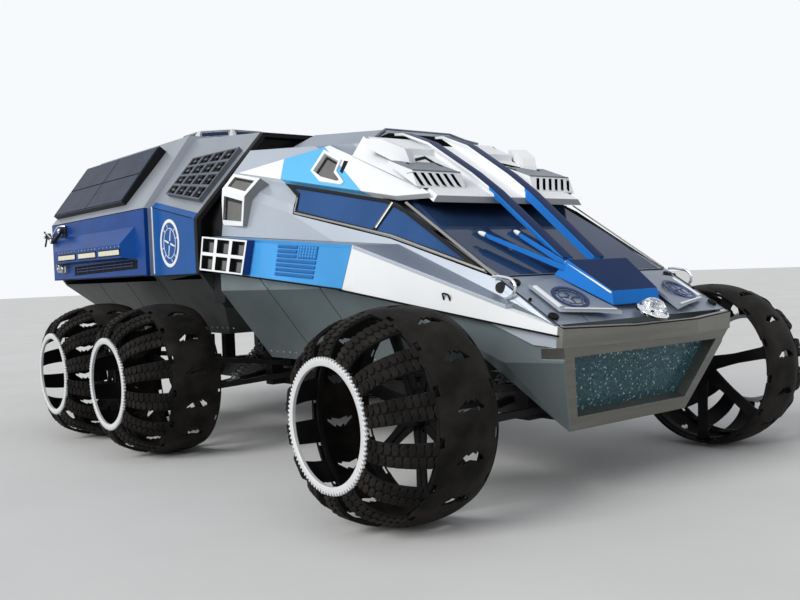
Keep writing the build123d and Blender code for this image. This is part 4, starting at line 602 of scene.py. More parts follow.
# Lower bodies. Folded sheet in a grey-green metallic paint, painted darker under the laboratory as shade,
# with a row of dome-headed screws and a pressed seam where the sheets lap.
HULL_GREEN = (0.155, 0.195, 0.205)
LAB_KEEL_SHADED_GREEN = (0.060, 0.066, 0.066)
hull_paint = skin("hull_grey_green", HULL_GREEN, 0.36, 0.45, coat=0.15, vary=0.14, cloud=1.1, grain=260.0,
                  bump=0.03, bare=(0.36, 0.38, 0.38), dust=0.45, dust_top=1.35)
keel_paint = skin("keel_green_painted_shade", LAB_KEEL_SHADED_GREEN, 0.42, 0.4, vary=0.18, cloud=1.2, grain=240.0,
                  bump=0.03, bare=(0.24, 0.25, 0.25), dust=0.35, dust_top=1.9)
dress(hull_paint, "cockpit_hull")
dress(keel_paint, "lab_hull")


def outline_normal(outline):
    """The direction a flat outline faces, by the sum of its corners' cross products."""
    outline = np.asarray(outline, float)
    return unit(np.cross(outline, np.roll(outline, -1, axis=0)).sum(0))


def raised_plate(outline, outward, high=0.004, draw=0.0015, sink=0.003):
    """A flat plate: its outline carried straight up out of the surface that it lies on, then drawn
    in along the mitre of each corner to round its upper edge, and capped."""
    outline = np.asarray(outline, float)
    if outline_normal(outline) @ np.asarray(outward) < 0:
        outline = outline[::-1]
    up = outline_normal(outline)
    ahead = np.roll(outline, -1, axis=0) - outline
    ahead = units(ahead)
    inward = np.cross(up, ahead)
    before = np.roll(inward, 1, axis=0)
    mitre = (inward + before) / (1.0 + np.sum(inward * before, axis=1, keepdims=True)).clip(0.25)
    rings = np.stack([outline - up * sink, outline + up * (high - draw),
                      outline + up * high + mitre * draw])
    count = len(outline)
    faces = grid_faces(3, count, close_columns=True)
    return rings.reshape(-1, 3), faces + [[2 * count + k for k in range(count)],
                                          list(reversed(range(count)))]


def strip_along(path, outward, width, high, sink=0.002, closed=False):
    """A trim strip: a low rounded section carried along a path over a surface, standing outward."""
    path = np.asarray(path, float)
    after = np.roll(path, -1, axis=0) - path
    before = path - np.roll(path, 1, axis=0)
    if not closed:
        after[-1], before[0] = before[-1], after[0]
    after = units(after)
    before = units(before)
    outward = np.broadcast_to(np.asarray(outward, float), path.shape)
    ahead = after + before
    ahead = units(ahead)
    side = np.cross(outward, ahead)
    side = units(side)
    stretch = 1.0 / np.clip(np.sqrt((1.0 + np.sum(after * before, axis=1)) / 2.0), 0.4, 1.0)
    section = np.array([(-0.5, 0.0), (-0.5, 0.7), (-0.36, 1.0), (0.36, 1.0), (0.5, 0.7), (0.5, 0.0)])
    lift = np.where(section[:, 1] > 0, section[:, 1] * high, -sink)
    points = (path[:, None] + section[None, :, :1] * width * stretch[:, None, None] * side[:, None]
              + lift[None, :, None] * outward[:, None])
    count = len(path)
    faces = grid_faces(count, 6, closed, True)
    if not closed:
        faces += [list(range(6))[::-1], [(count - 1) * 6 + k for k in range(6)]]
    return points.reshape(-1, 3), flipped(faces)


def both_hands(shape):
    """A shape and its mirror image on the other side."""
    points, faces = shape
    points = np.asarray(points, float).reshape(-1, 3)
    return joined([(points, faces), (points * (-1.0, 1.0, 1.0), flipped(faces))])


def on_both_sides(name, shapes, material, slot, smooth=35.0):
    """A piece of the body made of several shapes and their mirror images on the other side."""
    return make_piece(name, *both_hands(joined(shapes)), material, "body", slot, smooth)


BODY_HEART = np.array([0.0, -1.5, 1.5])
LAB_HEART = np.array([0.0, 1.0, 1.8])


class Facet:
    """A flat panel through three points, facing away from the middle of the body."""

    def __init__(self, a, b, c, heart=BODY_HEART):
        """Its direction is the cross product of b - a and c - a, turned away from the heart."""
        self.origin = np.asarray(a, float)
        normal = unit(np.cross(np.asarray(b, float) - a, np.asarray(c, float) - a))
        self.out = normal if normal @ (self.origin - heart) > 0 else -normal

    def at(self, y, z):
        """The points of the panel with these lengths and heights."""
        y, z = np.broadcast_arrays(np.asarray(y, float), np.asarray(z, float))
        x = self.origin[0] - ((y - self.origin[1]) * self.out[1]
                              + (z - self.origin[2]) * self.out[2]) / self.out[0]
        return np.stack([x, y, z], -1)

    def over(self, x, y):
        """The points of the panel straight above these places."""
        x, y = np.broadcast_arrays(np.asarray(x, float), np.asarray(y, float))
        z = self.origin[2] - ((x - self.origin[0]) * self.out[0]
                              + (y - self.origin[1]) * self.out[1]) / self.out[2]
        return np.stack([x, y, z], -1)


def screw_row(start, end, outward, count, size=0.009):
    """A row of low dome-headed screws from one point to another."""
    heads = []
    for share in np.linspace(0.0, 1.0, count):
        at = np.asarray(start) + (np.asarray(end) - np.asarray(start)) * share
        profile = [(-0.002, size), (0.001, size), (0.003, size * 0.75), (0.0042, size * 0.3), (0.0044, 0.0)]
        heads.append(turned_about(at, outward, profile, 10))
    return joined(heads)


hull_side = Facet((0.893, 0.0, 0.800), (0.893, -1.0, 0.800), (0.893 + 0.772, 0.0, 1.800))
keel_side = Facet((1.060, 0.0, 1.005), (1.060, 1.0, 1.005), (1.440, 0.0, 1.560), LAB_HEART)
seam_black = skin("seam_sealant", (0.012, 0.012, 0.013), 0.6, 0.0, grain=150.0)
hull_seams = [strip_along(hull_side.at([y, y], [0.83, top]), hull_side.out, 0.006, 0.0015)
              for y, top in ((-1.72, 1.46), (-0.98, 1.50))]
keel_seams = [strip_along(keel_side.at([y, y], [1.03, 1.545]), keel_side.out, 0.006, 0.0015)
              for y in (0.94, 1.75, 2.50)]
on_both_sides("hull_seams", hull_seams + keel_seams, seam_black, "satin_black")
hull_screws = [screw_row(hull_side.at(-1.98, 0.86), hull_side.at(-0.28, 0.86), hull_side.out, 18),
               screw_row(keel_side.at(0.10, 1.06), keel_side.at(2.45, 1.06), keel_side.out, 24)]
screw_steel = skin("zinc_screws", (0.42, 0.43, 0.44), 0.35, 0.8, grain=300.0)
on_both_sides("hull_screws", hull_screws, screw_steel, "hull_grey")


# Nose. A folded band and a deep sloping frame of brushed warm-toned sheet, with a pane at the bottom
# of its recess whose back is coated with fine glitter.
NOSE_SILVER = (0.19, 0.187, 0.172)
nose_metal = skin("brushed_nose_sheet", NOSE_SILVER, 0.33, 0.8, vary=0.10, cloud=1.4, grain=90.0, bump=0.06,
                  bare=(0.62, 0.61, 0.58), stretch=(1.0, 1.0, 14.0), dust=0.12, dust_top=0.9)
dress(nose_metal, "nose_frame")


def glitter_pane():
    """Teal glass over glitter: cells a few millimetres across, each with its own brightness, and a few
    painted almost white as glints, under a clear coat."""
    material, tree, shader = new_finish("glitter_pane", 0.22, 0.1, coat=0.2)
    place = tree.nodes.new("ShaderNodeTexCoord")
    flakes = tree.nodes.new("ShaderNodeTexVoronoi")
    flakes.inputs["Scale"].default_value = 95.0
    tree.links.new(place.outputs["Object"], flakes.inputs["Vector"])
    split = tree.nodes.new("ShaderNodeSeparateColor")
    tree.links.new(flakes.outputs["Color"], split.inputs["Color"])
    tone = blend_to(tree, split.outputs["Red"], (0.012, 0.040, 0.055), (0.050, 0.135, 0.165))
    cloud = spread_to(tree, noise(tree, 3.0, 5.0), 0.0, 0.55)
    tone = blend_to(tree, cloud, tone, (0.030, 0.070, 0.085))
    # A few cells are painted almost white as glints.
    painted_glint = spread_to(tree, split.outputs["Green"], 0.0, 0.9, 0.93, 0.985)
    tone = blend_to(tree, painted_glint, tone, (0.45, 0.62, 0.66))
    tree.links.new(tone, shader.inputs["Base Color"])
    emboss(tree, shader, split.outputs["Blue"], 0.25, 0.002)
    return material


dress(glitter_pane(), "nose_glass")


# Cockpit skin. Satin silver metallic sheet with soft orange peel and narrow black seals along the hood
# and under the windshield; the laboratory's rear door is a shade darker.
SILVER = (0.43, 0.475, 0.535)
LAB_SILVER = (0.30, 0.325, 0.365)
silver_paint = skin("silver_metallic", SILVER, 0.36, 0.5, coat=0.1, vary=0.05, cloud=0.9, grain=320.0,
                    bump=0.025, bare=(0.72, 0.73, 0.74), wear=0.3)
lab_paint = skin("laboratory_silver", LAB_SILVER, 0.40, 0.45, coat=0.1, vary=0.09, cloud=1.3, grain=280.0,
                 bump=0.03, bare=(0.6, 0.61, 0.62), wear=0.35)
dress(lab_paint, "lab_door")

side_window = Facet((0.905, -3.060, 1.441), (0.903, -2.108, 2.028), (1.200, -1.088, 1.998))
side_upper = Facet((1.129, -0.883, 2.280), (0.909, -2.053, 2.048), (0.820, -1.126, 2.541))
hood_middle = Facet((0.327, -3.694, 1.110), (-0.327, -3.694, 1.110), (0.0, -3.060, 1.441))
hood_side = Facet((0.905, -3.060, 1.441), (0.889, -3.585, 1.126), (0.327, -3.694, 1.110))
front_slope = Facet((0.903, -2.108, 2.028), (0.905, -3.060, 1.441), (-0.905, -3.060, 1.441))

cab_lines = [
    strip_along(hood_middle.over([0.0, 0.0], [-3.10, -3.13]), hood_middle.out, 0.004, 0.001),
    strip_along(hood_side.over([0.893, 0.885], [-3.085, -3.575]), hood_side.out, 0.006, 0.002),
    strip_along(front_slope.over([0.86, -0.86], [-3.048, -3.048]), front_slope.out, 0.012, 0.004),
]
on_both_sides("cockpit_gap_seals", cab_lines, seam_black, "satin_black")
nose_edge = np.array([(0.887, -3.578, 1.131), (0.327, -3.6875, 1.1155), (-0.327, -3.6875, 1.1155),
                      (-0.887, -3.578, 1.131)])
make_piece("hood_edge_seal", *strip_along(nose_edge, (0.0, -0.55, 0.83), 0.012, 0.003), seam_black, "body",
           "satin_black")


# Side door trims. Bright extruded strips along the sill, between the two panes and behind them, which
# open with each door; a heavier one covers each pillar of the windshield.
bright_trim = skin("bright_trim", (0.30, 0.29, 0.265), 0.30, 0.6, vary=0.08, grain=200.0, bump=0.03,
                   bare=(0.55, 0.54, 0.52))
lower_edge = side_window.at([-1.150, -2.130, -2.960], [1.993, 1.764, 1.489])
rear_edge = side_window.at([-1.115, -1.135], [2.118, 2.005])
divider = side_window.at([-1.972, -2.050], [1.828, 2.006])
door_trim = joined([strip_along(lower_edge, side_window.out, 0.016, 0.007),
                    strip_along(divider, side_window.out, 0.022, 0.007),
                    strip_along(rear_edge, side_window.out, 0.012, 0.005)])
for hand, tag in ((1.0, "left"), (-1.0, "right")):
    points, faces = door_trim
    faces = faces if hand > 0 else flipped(faces)
    make_piece(f"door_{tag}_trim", points * (hand, 1.0, 1.0), faces, bright_trim, f"door_{tag}",
               "silver_paint")

pillar = front_slope.over([0.895, 0.893], [-2.16, -3.03])
pillar_trim = strip_along(pillar, unit(front_slope.out + side_window.out), 0.020, 0.007)
on_both_sides("windshield_pillar_trims", [pillar_trim], bright_trim, "silver_paint")


# Panes. Dark glass, slightly rippled, under a clear coat: blue painted sky reflection in the doors, a
# deeper navy of painted sky reflection and shade in the windshield, and grey in the small panes.
def deep_glass(name, colour, rough, alpha):
    """Dark reflecting glass: a deep base colour that drifts a little, a faint ripple and a clear coat."""
    material, tree, shader = new_finish(name, rough, 0.0, coat=0.12)
    shader.inputs["Coat Roughness"].default_value = 0.03
    shader.inputs["Alpha"].default_value = alpha
    drift = spread_to(tree, noise(tree, 1.2, 3.0), 0.0, 1.0)
    tree.links.new(clouded(tree, drift, colour, 0.25, 0.25), shader.inputs["Base Color"])
    emboss(tree, shader, noise(tree, 2.2, 2.0), 0.04, 0.01)
    return material


# The blue of the door glass is painted sky reflection; the navy of the windshield is painted sky reflection
# and shade.
side_glass = deep_glass("sky_blue_glass", (0.026, 0.075, 0.205), 0.06, 0.95)
screen_glass = deep_glass("windshield_glass", (0.020, 0.044, 0.110), 0.06, 0.94)
small_glass = deep_glass("window_box_glass", (0.020, 0.021, 0.022), 0.10, 0.92)
dress(side_glass, "door_glass_left", "door_glass_right")
dress(screen_glass, "windshield")


# Belt. Gloss panels round the cockpit: sky blue from the window boxes to a slanting joint, then
# white to the nose, with a relief of plain stripes and dots on the blue and a small black handle.
WHITE = (0.80, 0.82, 0.84)
SKY_BLUE = (0.062, 0.330, 0.720)
BELT_X = 1.420
BELT_JOINT = -1.3906
BELT_LEAN = 0.4875
JOINT_SOFT = 0.0005
JOINT_HALF_WIDTH = 0.0022


def way_along(tree, direction):
    """How far the surface lies along a direction: its place times the direction, axis by axis, summed."""
    place = tree.nodes.new("ShaderNodeTexCoord")
    along = tree.nodes.new("ShaderNodeVectorMath")
    along.operation = "DOT_PRODUCT"
    along.inputs[1].default_value = direction
    tree.links.new(place.outputs["Object"], along.inputs[0])
    return along.outputs["Value"]


def beyond(tree, direction, level):
    """1 on the far side of a slanting plane: past a level along a direction."""
    return spread_to(tree, way_along(tree, direction), 0.0, 1.0, level - JOINT_SOFT, level + JOINT_SOFT)


def paint_and_shade_layers(name, colour, layers, rough=0.30, metal=0.0, coat=0.06, vary=0.05, bare=None,
             gloss=PLAIN_GLOSS, cloud=1.4, grain=230.0, bump=0.025, matt=(-0.06, 0.08)):
    """A sprayed finish in several colours, where some layers are painted shade and painted sky reflection
    instead of paint: each layer is (share maker, colour) over the one before, with soft clouds in every
    tone, orange peel, rounded edges and rubbed corners. A layer may add how much darker and lighter it
    drifts; vary says it for the others."""
    material, tree, shader = new_finish(name, rough, metal, coat)
    shader.inputs["Specular IOR Level"].default_value = gloss
    cloudy = spread_to(tree, noise(tree, cloud, 5.0), 0.0, 1.0)
    base = clouded(tree, cloudy, colour, *np.broadcast_to(vary, 2))
    for make_share, over, *own in layers:
        drift = own or np.broadcast_to(vary, 2)
        base = blend_to(tree, make_share(tree), base, clouded(tree, cloudy, over, *drift))
    rubbed, rounded = worn_edge(tree, EDGE_ROUND)
    if bare:
        base = blend_to(tree, rubbed, base, bare)
    lay_on(tree, shader, base, rounded, rough + matt[0], rough + matt[1], grain, bump)
    return material


def behind_joint(tree):
    """1 behind the belt's slanting joint."""
    return beyond(tree, (0.0, 1.0, BELT_LEAN), BELT_JOINT)


def joint_line(tree):
    """1 on the black line along the joint."""
    return figure(tree, "COMPARE", way_along(tree, (0.0, 1.0, BELT_LEAN)), BELT_JOINT, JOINT_HALF_WIDTH)


belt_paint = paint_and_shade_layers("belt_white_and_blue", WHITE, ((behind_joint, SKY_BLUE, 0.10, 0.10),
                                                     (joint_line, (0.02, 0.03, 0.05), 0.0, 0.0)),
                      rough=0.28, coat=0.15, vary=(0.04, 0.03), cloud=1.3)
dress(belt_paint, "belt_left", "belt_right")
white_paint = skin("gloss_white", WHITE, 0.28, 0.0, coat=0.15, vary=0.035, grain=240.0, bump=0.025,
                   bare=(0.9, 0.9, 0.9))
sky_paint = skin("gloss_sky_blue", SKY_BLUE, 0.27, 0.1, coat=0.15, vary=0.10, grain=240.0, bump=0.025,
                 bare=(0.35, 0.6, 0.85))
relief_blue = skin("relief_blue", (0.022, 0.150, 0.440), 0.32, 0.1, coat=0.1, vary=0.12, grain=200.0,
                   bump=0.04)

STRIPES, SHORT_STRIPES = 7, 3
DOT_COLUMNS, DOT_ROWS = 6, 4
RELIEF = np.array([(-1.275, 1.750), (-1.816, 1.710), (-1.720, 1.472), (-1.196, 1.511)])


def in_relief(u, v):
    """A point of the relief by its share along (0 rear, 1 front) and down."""
    rear_top, front_top, front_low, rear_low = RELIEF
    top = rear_top + (front_top - rear_top) * u
    low = rear_low + (front_low - rear_low) * u
    y, z = top + (low - top) * v
    return (BELT_X, y, z)


def relief_plate(u0, u1, v0, v1, high, draw):
    """A raised plate of the relief between two shares along and two down."""
    corners = [in_relief(u, v) for u, v in ((u0, v0), (u1, v0), (u1, v1), (u0, v1))]
    return raised_plate(corners, ACROSS, high, draw)


stripes = [relief_plate(0.0, 0.50 if k < SHORT_STRIPES else 1.0, (k + 0.12) / STRIPES, (k + 0.80) / STRIPES,
                        0.009, 0.004) for k in range(STRIPES)]
stripes.append(relief_plate(0.545, 1.0, 0.017, 0.40, 0.007, 0.003))
dots = [turned_about(np.array(in_relief(0.60 + 0.070 * i, 0.075 + 0.083 * j)) + (0.006, 0.0, 0.0), ACROSS,
                     [(0.0, 0.011), (0.003, 0.010), (0.005, 0.006), (0.0055, 0.0)], 10)
        for i in range(DOT_COLUMNS) for j in range(DOT_ROWS)]
on_both_sides("belt_stripe_relief", stripes, relief_blue, "bright_blue")
on_both_sides("belt_relief_dots", dots, sky_paint, "bright_blue")

belt_taper = Facet((BELT_X, -2.219, 0.0), (BELT_X, -2.219, 1.0), (0.889, -3.585, 0.0))
handle = belt_taper.at([-2.850, -2.850, -2.890, -2.890], [1.318, 1.360, 1.350, 1.312])
handle = handle + belt_taper.out * np.array([0.0, 0.022, 0.022, 0.0])[:, None]
handle_course = [handle[leg] + (handle[leg + 1] - handle[leg]) * share
                 for leg, shares in enumerate(((0.0, 0.5, 0.9), (0.2, 0.8), (0.1, 0.5, 1.0)))
                 for share in shares]
on_both_sides("belt_handles", [rod_along(handle_course, 0.006, 10)], seam_black, "satin_black", 50.0)

belt_low = [(BELT_X + 0.001, y, z - 0.004) for y, z in ((-0.16, 1.573), (-2.063, 1.404))]
belt_low += list(belt_taper.at([-2.10, -3.259, -3.56], [1.399, 1.147, 1.083]) + belt_taper.out * 0.001)
on_both_sides("belt_lower_seals", [strip_along(belt_low, (0.9, 0.0, -0.35), 0.012, 0.003)], seam_black,
              "satin_black")

chin_line = belt_taper.at([-3.120, -3.545, -3.545, -3.387], [1.166, 1.086, 1.005, 1.026])
chin_line = chin_line - belt_taper.out * 0.055
on_both_sides("nose_cheek_plates", [raised_plate(chin_line, belt_taper.out, 0.012, 0.003)], silver_paint,
              "silver_paint")


# Hood fittings. Plain navy roundels with tick marks on the two raised plates, white edge strips,
# rubber stops, polished guard tubes in front of small round lamps.
NAVY = (0.012, 0.032, 0.130)
navy_paint = skin("navy_paint", NAVY, 0.3, 0.1, coat=0.1, vary=0.12, grain=220.0, bump=0.03,
                  bare=(0.10, 0.16, 0.32))
HOOD_ROUNDEL = (0.578, -3.367)
HOOD_PLATE_HIGH = 0.022


def roundel(centre, outward, radius, width, ticks, along=ALONG):
    """A plain ring with a thin inner ring and short tick marks pointing at its centre."""
    shapes = [turned_about(centre, outward, [(-0.002, radius - width), (0.0035, radius - width + 0.001),
                                             (0.0035, radius - 0.001), (-0.002, radius)], 72),
              turned_about(centre, outward, [(-0.002, radius * 0.60), (0.003, radius * 0.605),
                                             (0.003, radius * 0.635), (-0.002, radius * 0.64)], 60)]
    outward = unit(outward)
    side = unit(np.asarray(along, float) - (np.asarray(along, float) @ outward) * outward)
    over = np.cross(outward, side)
    for k in range(ticks):
        turn = 2.0 * np.pi * (k + 0.5) / ticks
        arm = np.cos(turn) * side + np.sin(turn) * over
        cross = -np.sin(turn) * side + np.cos(turn) * over
        near, far = (0.68, 0.82) if k % 3 else (0.10, 0.56)
        half = radius * (0.028 if k % 3 else 0.045)
        ends = ((near, -half), (far, -half * 0.6), (far, half * 0.6), (near, half))
        corners = [centre + arm * radius * r + cross * w for r, w in ends]
        shapes.append(raised_plate(corners, outward, 0.003, 0.0008, 0.001))
    return joined(shapes)


plate_top = hood_side.over(*HOOD_ROUNDEL) + hood_side.out * HOOD_PLATE_HIGH
on_both_sides("hood_roundels", [roundel(plate_top, hood_side.out, 0.128, 0.026, 12)], navy_paint,
              "deep_blue", 30.0)
edge_line = hood_side.over([0.738, 0.738], [-3.215, -3.430]) + hood_side.out * HOOD_PLATE_HIGH
front_line = hood_side.over([0.722, 0.345], [-3.447, -3.543]) + hood_side.out * HOOD_PLATE_HIGH
edge_strips = [strip_along(edge_line, hood_side.out, 0.036, 0.006),
               strip_along(front_line, hood_side.out, 0.014, 0.003)]
on_both_sides("hood_edge_strips", edge_strips, white_paint, "white_paint")
stops = []
for x, y, size in ((0.842, -3.470, 0.034), (0.806, -3.126, 0.034), (0.862, -3.300, 0.011)):
    rubber = [(-0.004, size), (0.006, size), (0.011, size * 0.88), (0.012, size * 0.6), (0.007, size * 0.5),
              (0.006, 0.0)]
    stops.append(turned_about(hood_side.over(x, y), hood_side.out, rubber, 24))
on_both_sides("hood_stops", stops, seam_black, "satin_black", 30.0)

GUARD = ((0.930, -3.050, 1.452), (0.930, -3.100, 1.453), (0.931, -3.205, 1.436), (0.932, -3.246, 1.402),
         (0.934, -3.243, 1.350), (0.935, -3.205, 1.318), (0.936, -3.120, 1.304), (0.936, -3.085, 1.300))


def eased(points, count, rounds=4):
    """A smooth course through the neighbourhood of a few points."""
    points = np.asarray(points, float)
    run = np.concatenate([[0.0], np.cumsum(np.linalg.norm(np.diff(points, axis=0), axis=1))])
    step = np.linspace(0.0, run[-1], count)
    course = np.stack([np.interp(step, run, points[:, k]) for k in range(3)], -1)
    for _ in range(rounds):
        course[1:-1] = (course[:-2] + 2.0 * course[1:-1] + course[2:]) / 4.0
    return course


chrome = skin("polished_tube", (0.74, 0.74, 0.75), 0.10, 1.0, vary=0.03, grain=60.0, bump=0.01,
              bare=(0.85, 0.85, 0.86), wear=0.1)
guard_tubes = on_both_sides("hood_guard_tubes", [rod_along(eased(GUARD, 40), 0.0105, 14)], chrome,
                            "chrome_tube", 50.0)
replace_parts(guard_tubes, "hood_brackets")
corner_lamp = turned_about((0.905, -3.085, 1.372), (0.55, -0.75, 0.25),
                           [(0.0, 0.030), (0.030, 0.036), (0.042, 0.036), (0.044, 0.030), (0.050, 0.0)], 24)
on_both_sides("hood_corner_lamps", [corner_lamp], small_glass, "dark_glass", 30.0)


# Lamp dome. A clear moulded half globe on a turned and polished base at the tip of the hood, over
# three small lamps with mirror bowls.
DOME_RADIUS = 0.098
dome_foot = hood_middle.over(0.0, -3.566)
base_profile = [(0.0, 0.111), (0.016, 0.111), (0.021, 0.106), (0.022, 0.098), (0.018, 0.094),
                (0.006, 0.092), (0.005, 0.0)]
dome_base = make_piece("dome_base", *turned_about(dome_foot, hood_middle.out, base_profile, 56), chrome,
                       "body", "chrome_tube", 30.0)
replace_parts(dome_base, "lamp_dome")
rise = np.linspace(0.0, np.pi / 2.0, 22)
shell_profile = np.stack([0.004 + (DOME_RADIUS - 0.005) * np.sin(rise),
                          (DOME_RADIUS - 0.001) * np.cos(rise)], 1)


def clear_plastic():
    """Clear moulded plastic with a trace of blue and fine scratches in its gloss."""
    material, tree, shader = new_finish("clear_dome_plastic", 0.03, 0.0, coat=1.0)
    shader.inputs["Transmission Weight"].default_value = 1.0
    shader.inputs["IOR"].default_value = 1.12
    scratch = noise(tree, 40.0, 6.0, (1.0, 6.0, 1.0))
    tone = blend_to(tree, scratch, (0.90, 0.94, 0.97), (0.97, 0.98, 0.99))
    tree.links.new(tone, shader.inputs["Base Color"])
    tree.links.new(spread_to(tree, scratch, 0.02, 0.07), shader.inputs["Roughness"])
    return material


make_piece("dome_shell", *turned_about(dome_foot, hood_middle.out, shell_profile, 56), clear_plastic(),
           "body", "clear_dome", 60.0)
bowl = [(0.0, 0.010), (0.016, 0.014), (0.034, 0.026), (0.037, 0.027), (0.034, 0.023), (0.020, 0.012),
        (0.016, 0.004), (0.024, 0.0)]
bowls = []
for k in range(3):
    turn = 2.0 * np.pi * k / 3.0 + 0.5
    tilt = unit(hood_middle.out + 0.75 * np.array([np.cos(turn), np.sin(turn) - 0.5, 0.2]))
    foot = dome_foot + hood_middle.out * 0.018 + 0.032 * np.array([np.cos(turn), np.sin(turn), 0.15])
    bowls.append(turned_about(foot, tilt, bowl, 22))
make_piece("dome_lamps", *joined(bowls), chrome, "body", "chrome_tube", 40.0)


# Wiper tips. White moulded caps that end the two arms over the windshield, and the white edges of
# the nose block.
WIPER_ARMS = (((-0.300, -3.120, 1.480), (-0.640, -2.655, 1.748)),
              ((-0.205, -3.080, 1.490), (-0.290, -2.650, 1.755)))
tip_profile = [(0.0, 0.0155), (0.0, 0.0175), (0.028, 0.0170), (0.052, 0.008), (0.054, 0.0)]
tips = []
for foot, tip in WIPER_ARMS:
    foot, tip = np.array(foot), np.array(tip)
    back = unit(foot - tip)
    tips.append(turned_about(tip + back * 0.030, -back, tip_profile, 18))
make_piece("wiper_tips", *joined(tips), white_paint, "body", "white_paint", 40.0)
block_edge = strip_along([(0.317, -3.118, 1.532), (0.246, -3.436, 1.316)], (0.75, -0.3, 0.55), 0.012, 0.002)
on_both_sides("nose_block_edges", [block_edge], white_paint, "white_paint")


# Upper side panels. White, with a sky-blue field whose edges slant down to the window and a framed
# port let into it.
UPPER_BLUE = (0.120, 0.470, 0.800)


def blue_field(tree):
    """1 between the two slanting edges of the blue field."""
    return times(tree, beyond(tree, (0.0, 0.648, -1.0), -3.2370), beyond(tree, (0.0, -1.594, 1.0), 3.6565))


side_paint = paint_and_shade_layers("white_with_blue_field", WHITE, ((blue_field, UPPER_BLUE, 0.06, 0.06),), rough=0.28,
                      coat=0.15, vary=(0.04, 0.03), cloud=1.3)
dress(side_paint, "side_panels")


# Dashboard. Charcoal plastic moulded in one piece with its console; the grained skin scatters what
# little light comes through the windshield.
dress(skin("dash_moulding", (0.040, 0.042, 0.045), 0.6, 0.0, grain=420.0, bump=0.2, vary=0.15),
      "helm_console")


# Laboratory sides. Deep blue gloss panels, a shade lighter on the front module, with a white seal
# where the modules step, black seams and plain white roundels.
LAB_BLUE = (0.005, 0.048, 0.215)
LAB_AZURE = (0.009, 0.085, 0.305)
SIDE_X = 1.532


def behind_step(tree):
    """1 on the rear module, behind the step."""
    return beyond(tree, ALONG, 0.9390)


lab_blue = paint_and_shade_layers("laboratory_blue", LAB_AZURE, ((behind_step, LAB_BLUE, 0.15, 0.15),), coat=0.0,
                    vary=0.10, bare=(0.12, 0.28, 0.62), cloud=1.5, grain=210.0, bump=0.03,
                    matt=(-0.10, 0.06))
dress(lab_blue, "lab_sides", "lamp_hoods")
frame_black = skin("frame_black", (0.016, 0.016, 0.018), 0.5, 0.0, vary=0.2, grain=170.0, bump=0.06,
                   bare=(0.07, 0.07, 0.072))
dress(frame_black, "lab_frame")

lab_front_side = Facet((1.490, -0.006, 2.033), (1.449, 0.940, 2.205), (1.490, -0.006, 0.0), LAB_HEART)
lab_front_slope = Facet((1.490, -0.006, 2.033), (1.449, 0.940, 2.205), (0.803, -0.006, 2.806), LAB_HEART)
LAB_ROUNDEL = (0.545, 1.845)
lab_roundel = roundel(lab_front_side.at(*LAB_ROUNDEL), lab_front_side.out, 0.218, 0.032, 12)
on_both_sides("laboratory_roundels", [lab_roundel], white_paint, "white_paint", 30.0)

step_seal = [(1.4515, 0.934, 1.575), (1.4515, 0.934, 2.205)]
on_both_sides("module_step_seals", [strip_along(step_seal, (0.7, -0.7, 0.0), 0.012, 0.006)], white_paint,
              "white_paint")
panel_lines = [
    strip_along(lab_front_side.at([0.03, 0.93], [2.036, 2.200]), lab_front_side.out, 0.008, 0.002),
    strip_along([(SIDE_X, 0.95, 2.193), (SIDE_X, 3.55, 2.193)], (1.0, 0.0, 0.3), 0.008, 0.002),
    strip_along([(SIDE_X, 0.95, 1.566), (SIDE_X, 3.55, 1.566)], ACROSS, 0.010, 0.002),
]
on_both_sides("laboratory_seams", panel_lines, seam_black, "satin_black")


# Lamp hoods. A mitred box folded from blue sheet, in the laboratory's paint, with three pale lamps of
# fluted plastic let into its leaning face.
def lamp_lens():
    """Pale ribbed plastic, a little yellow, with a fine vertical flute."""
    material, tree, shader = new_finish("fluted_lamp_lens", 0.35, 0.0, coat=0.3)
    flute = noise(tree, 60.0, 1.0, (1.0, 4.0, 0.1))
    base = blend_to(tree, spread_to(tree, flute, 0.0, 1.0), (0.60, 0.57, 0.42), (0.80, 0.78, 0.66))
    tree.links.new(base, shader.inputs["Base Color"])
    emboss(tree, shader, flute, 0.4, 0.003)
    return material


dress(lamp_lens(), "light_bars")


# Solar panels. Blue-black cells under glass in a black box, parted by dark gaps and ruled by faint
# pale conductors.
def facing_axis(tree, axis):
    """How far the surface faces along an axis, from its own flat direction."""
    facing = tree.nodes.new("ShaderNodeNewGeometry")
    split = tree.nodes.new("ShaderNodeSeparateXYZ")
    tree.links.new(facing.outputs["True Normal"], split.inputs["Vector"])
    return split.outputs[axis]


def solar_glass():
    """Cells of 155 by 118 mm that drift in tone, dark gaps between them and a faint conductor every
    39 mm; faces that don't look up are black."""
    material, tree, shader = new_finish("solar_cells", 0.40, 0.0, coat=0.02)
    rulings = []
    for axis, pitch, thin in (("Y", 0.155, 0.010), ("Z", 0.118, 0.012), ("Y", 0.0387, 0.028)):
        wave = figure(tree, "PINGPONG", place_axis(tree, axis), pitch / 2.0)
        rulings.append(spread_to(tree, wave, 1.0, 0.0, pitch * thin, pitch * thin * 1.6))
    tone = spread_to(tree, noise(tree, 4.0, 3.0), 0.0, 1.0)
    base = blend_to(tree, tone, (0.012, 0.019, 0.040), (0.022, 0.032, 0.064))
    base = blend_to(tree, figure(tree, "MAXIMUM", *rulings[:2]), base, (0.006, 0.007, 0.009))
    base = blend_to(tree, times(tree, rulings[2], 0.25), base, (0.16, 0.17, 0.20))
    top = spread_to(tree, facing_axis(tree, "Z"), 0.0, 1.0, 0.30, 0.34)
    base = blend_to(tree, top, (0.012, 0.012, 0.013), base)
    tree.links.new(base, shader.inputs["Base Color"])
    return material


dress(solar_glass(), "solar_panels")


# Roof grilles. Egg-crate castings in slate grey with a gritty skin, laid on the slope of the front
# module; their screens and studs follow further down.
dress(skin("grille_casting", (0.130, 0.145, 0.170), 0.5, 0.1, vary=0.15, grain=200.0, bump=0.12,
           bare=(0.16, 0.165, 0.18)), "roof_grilles")
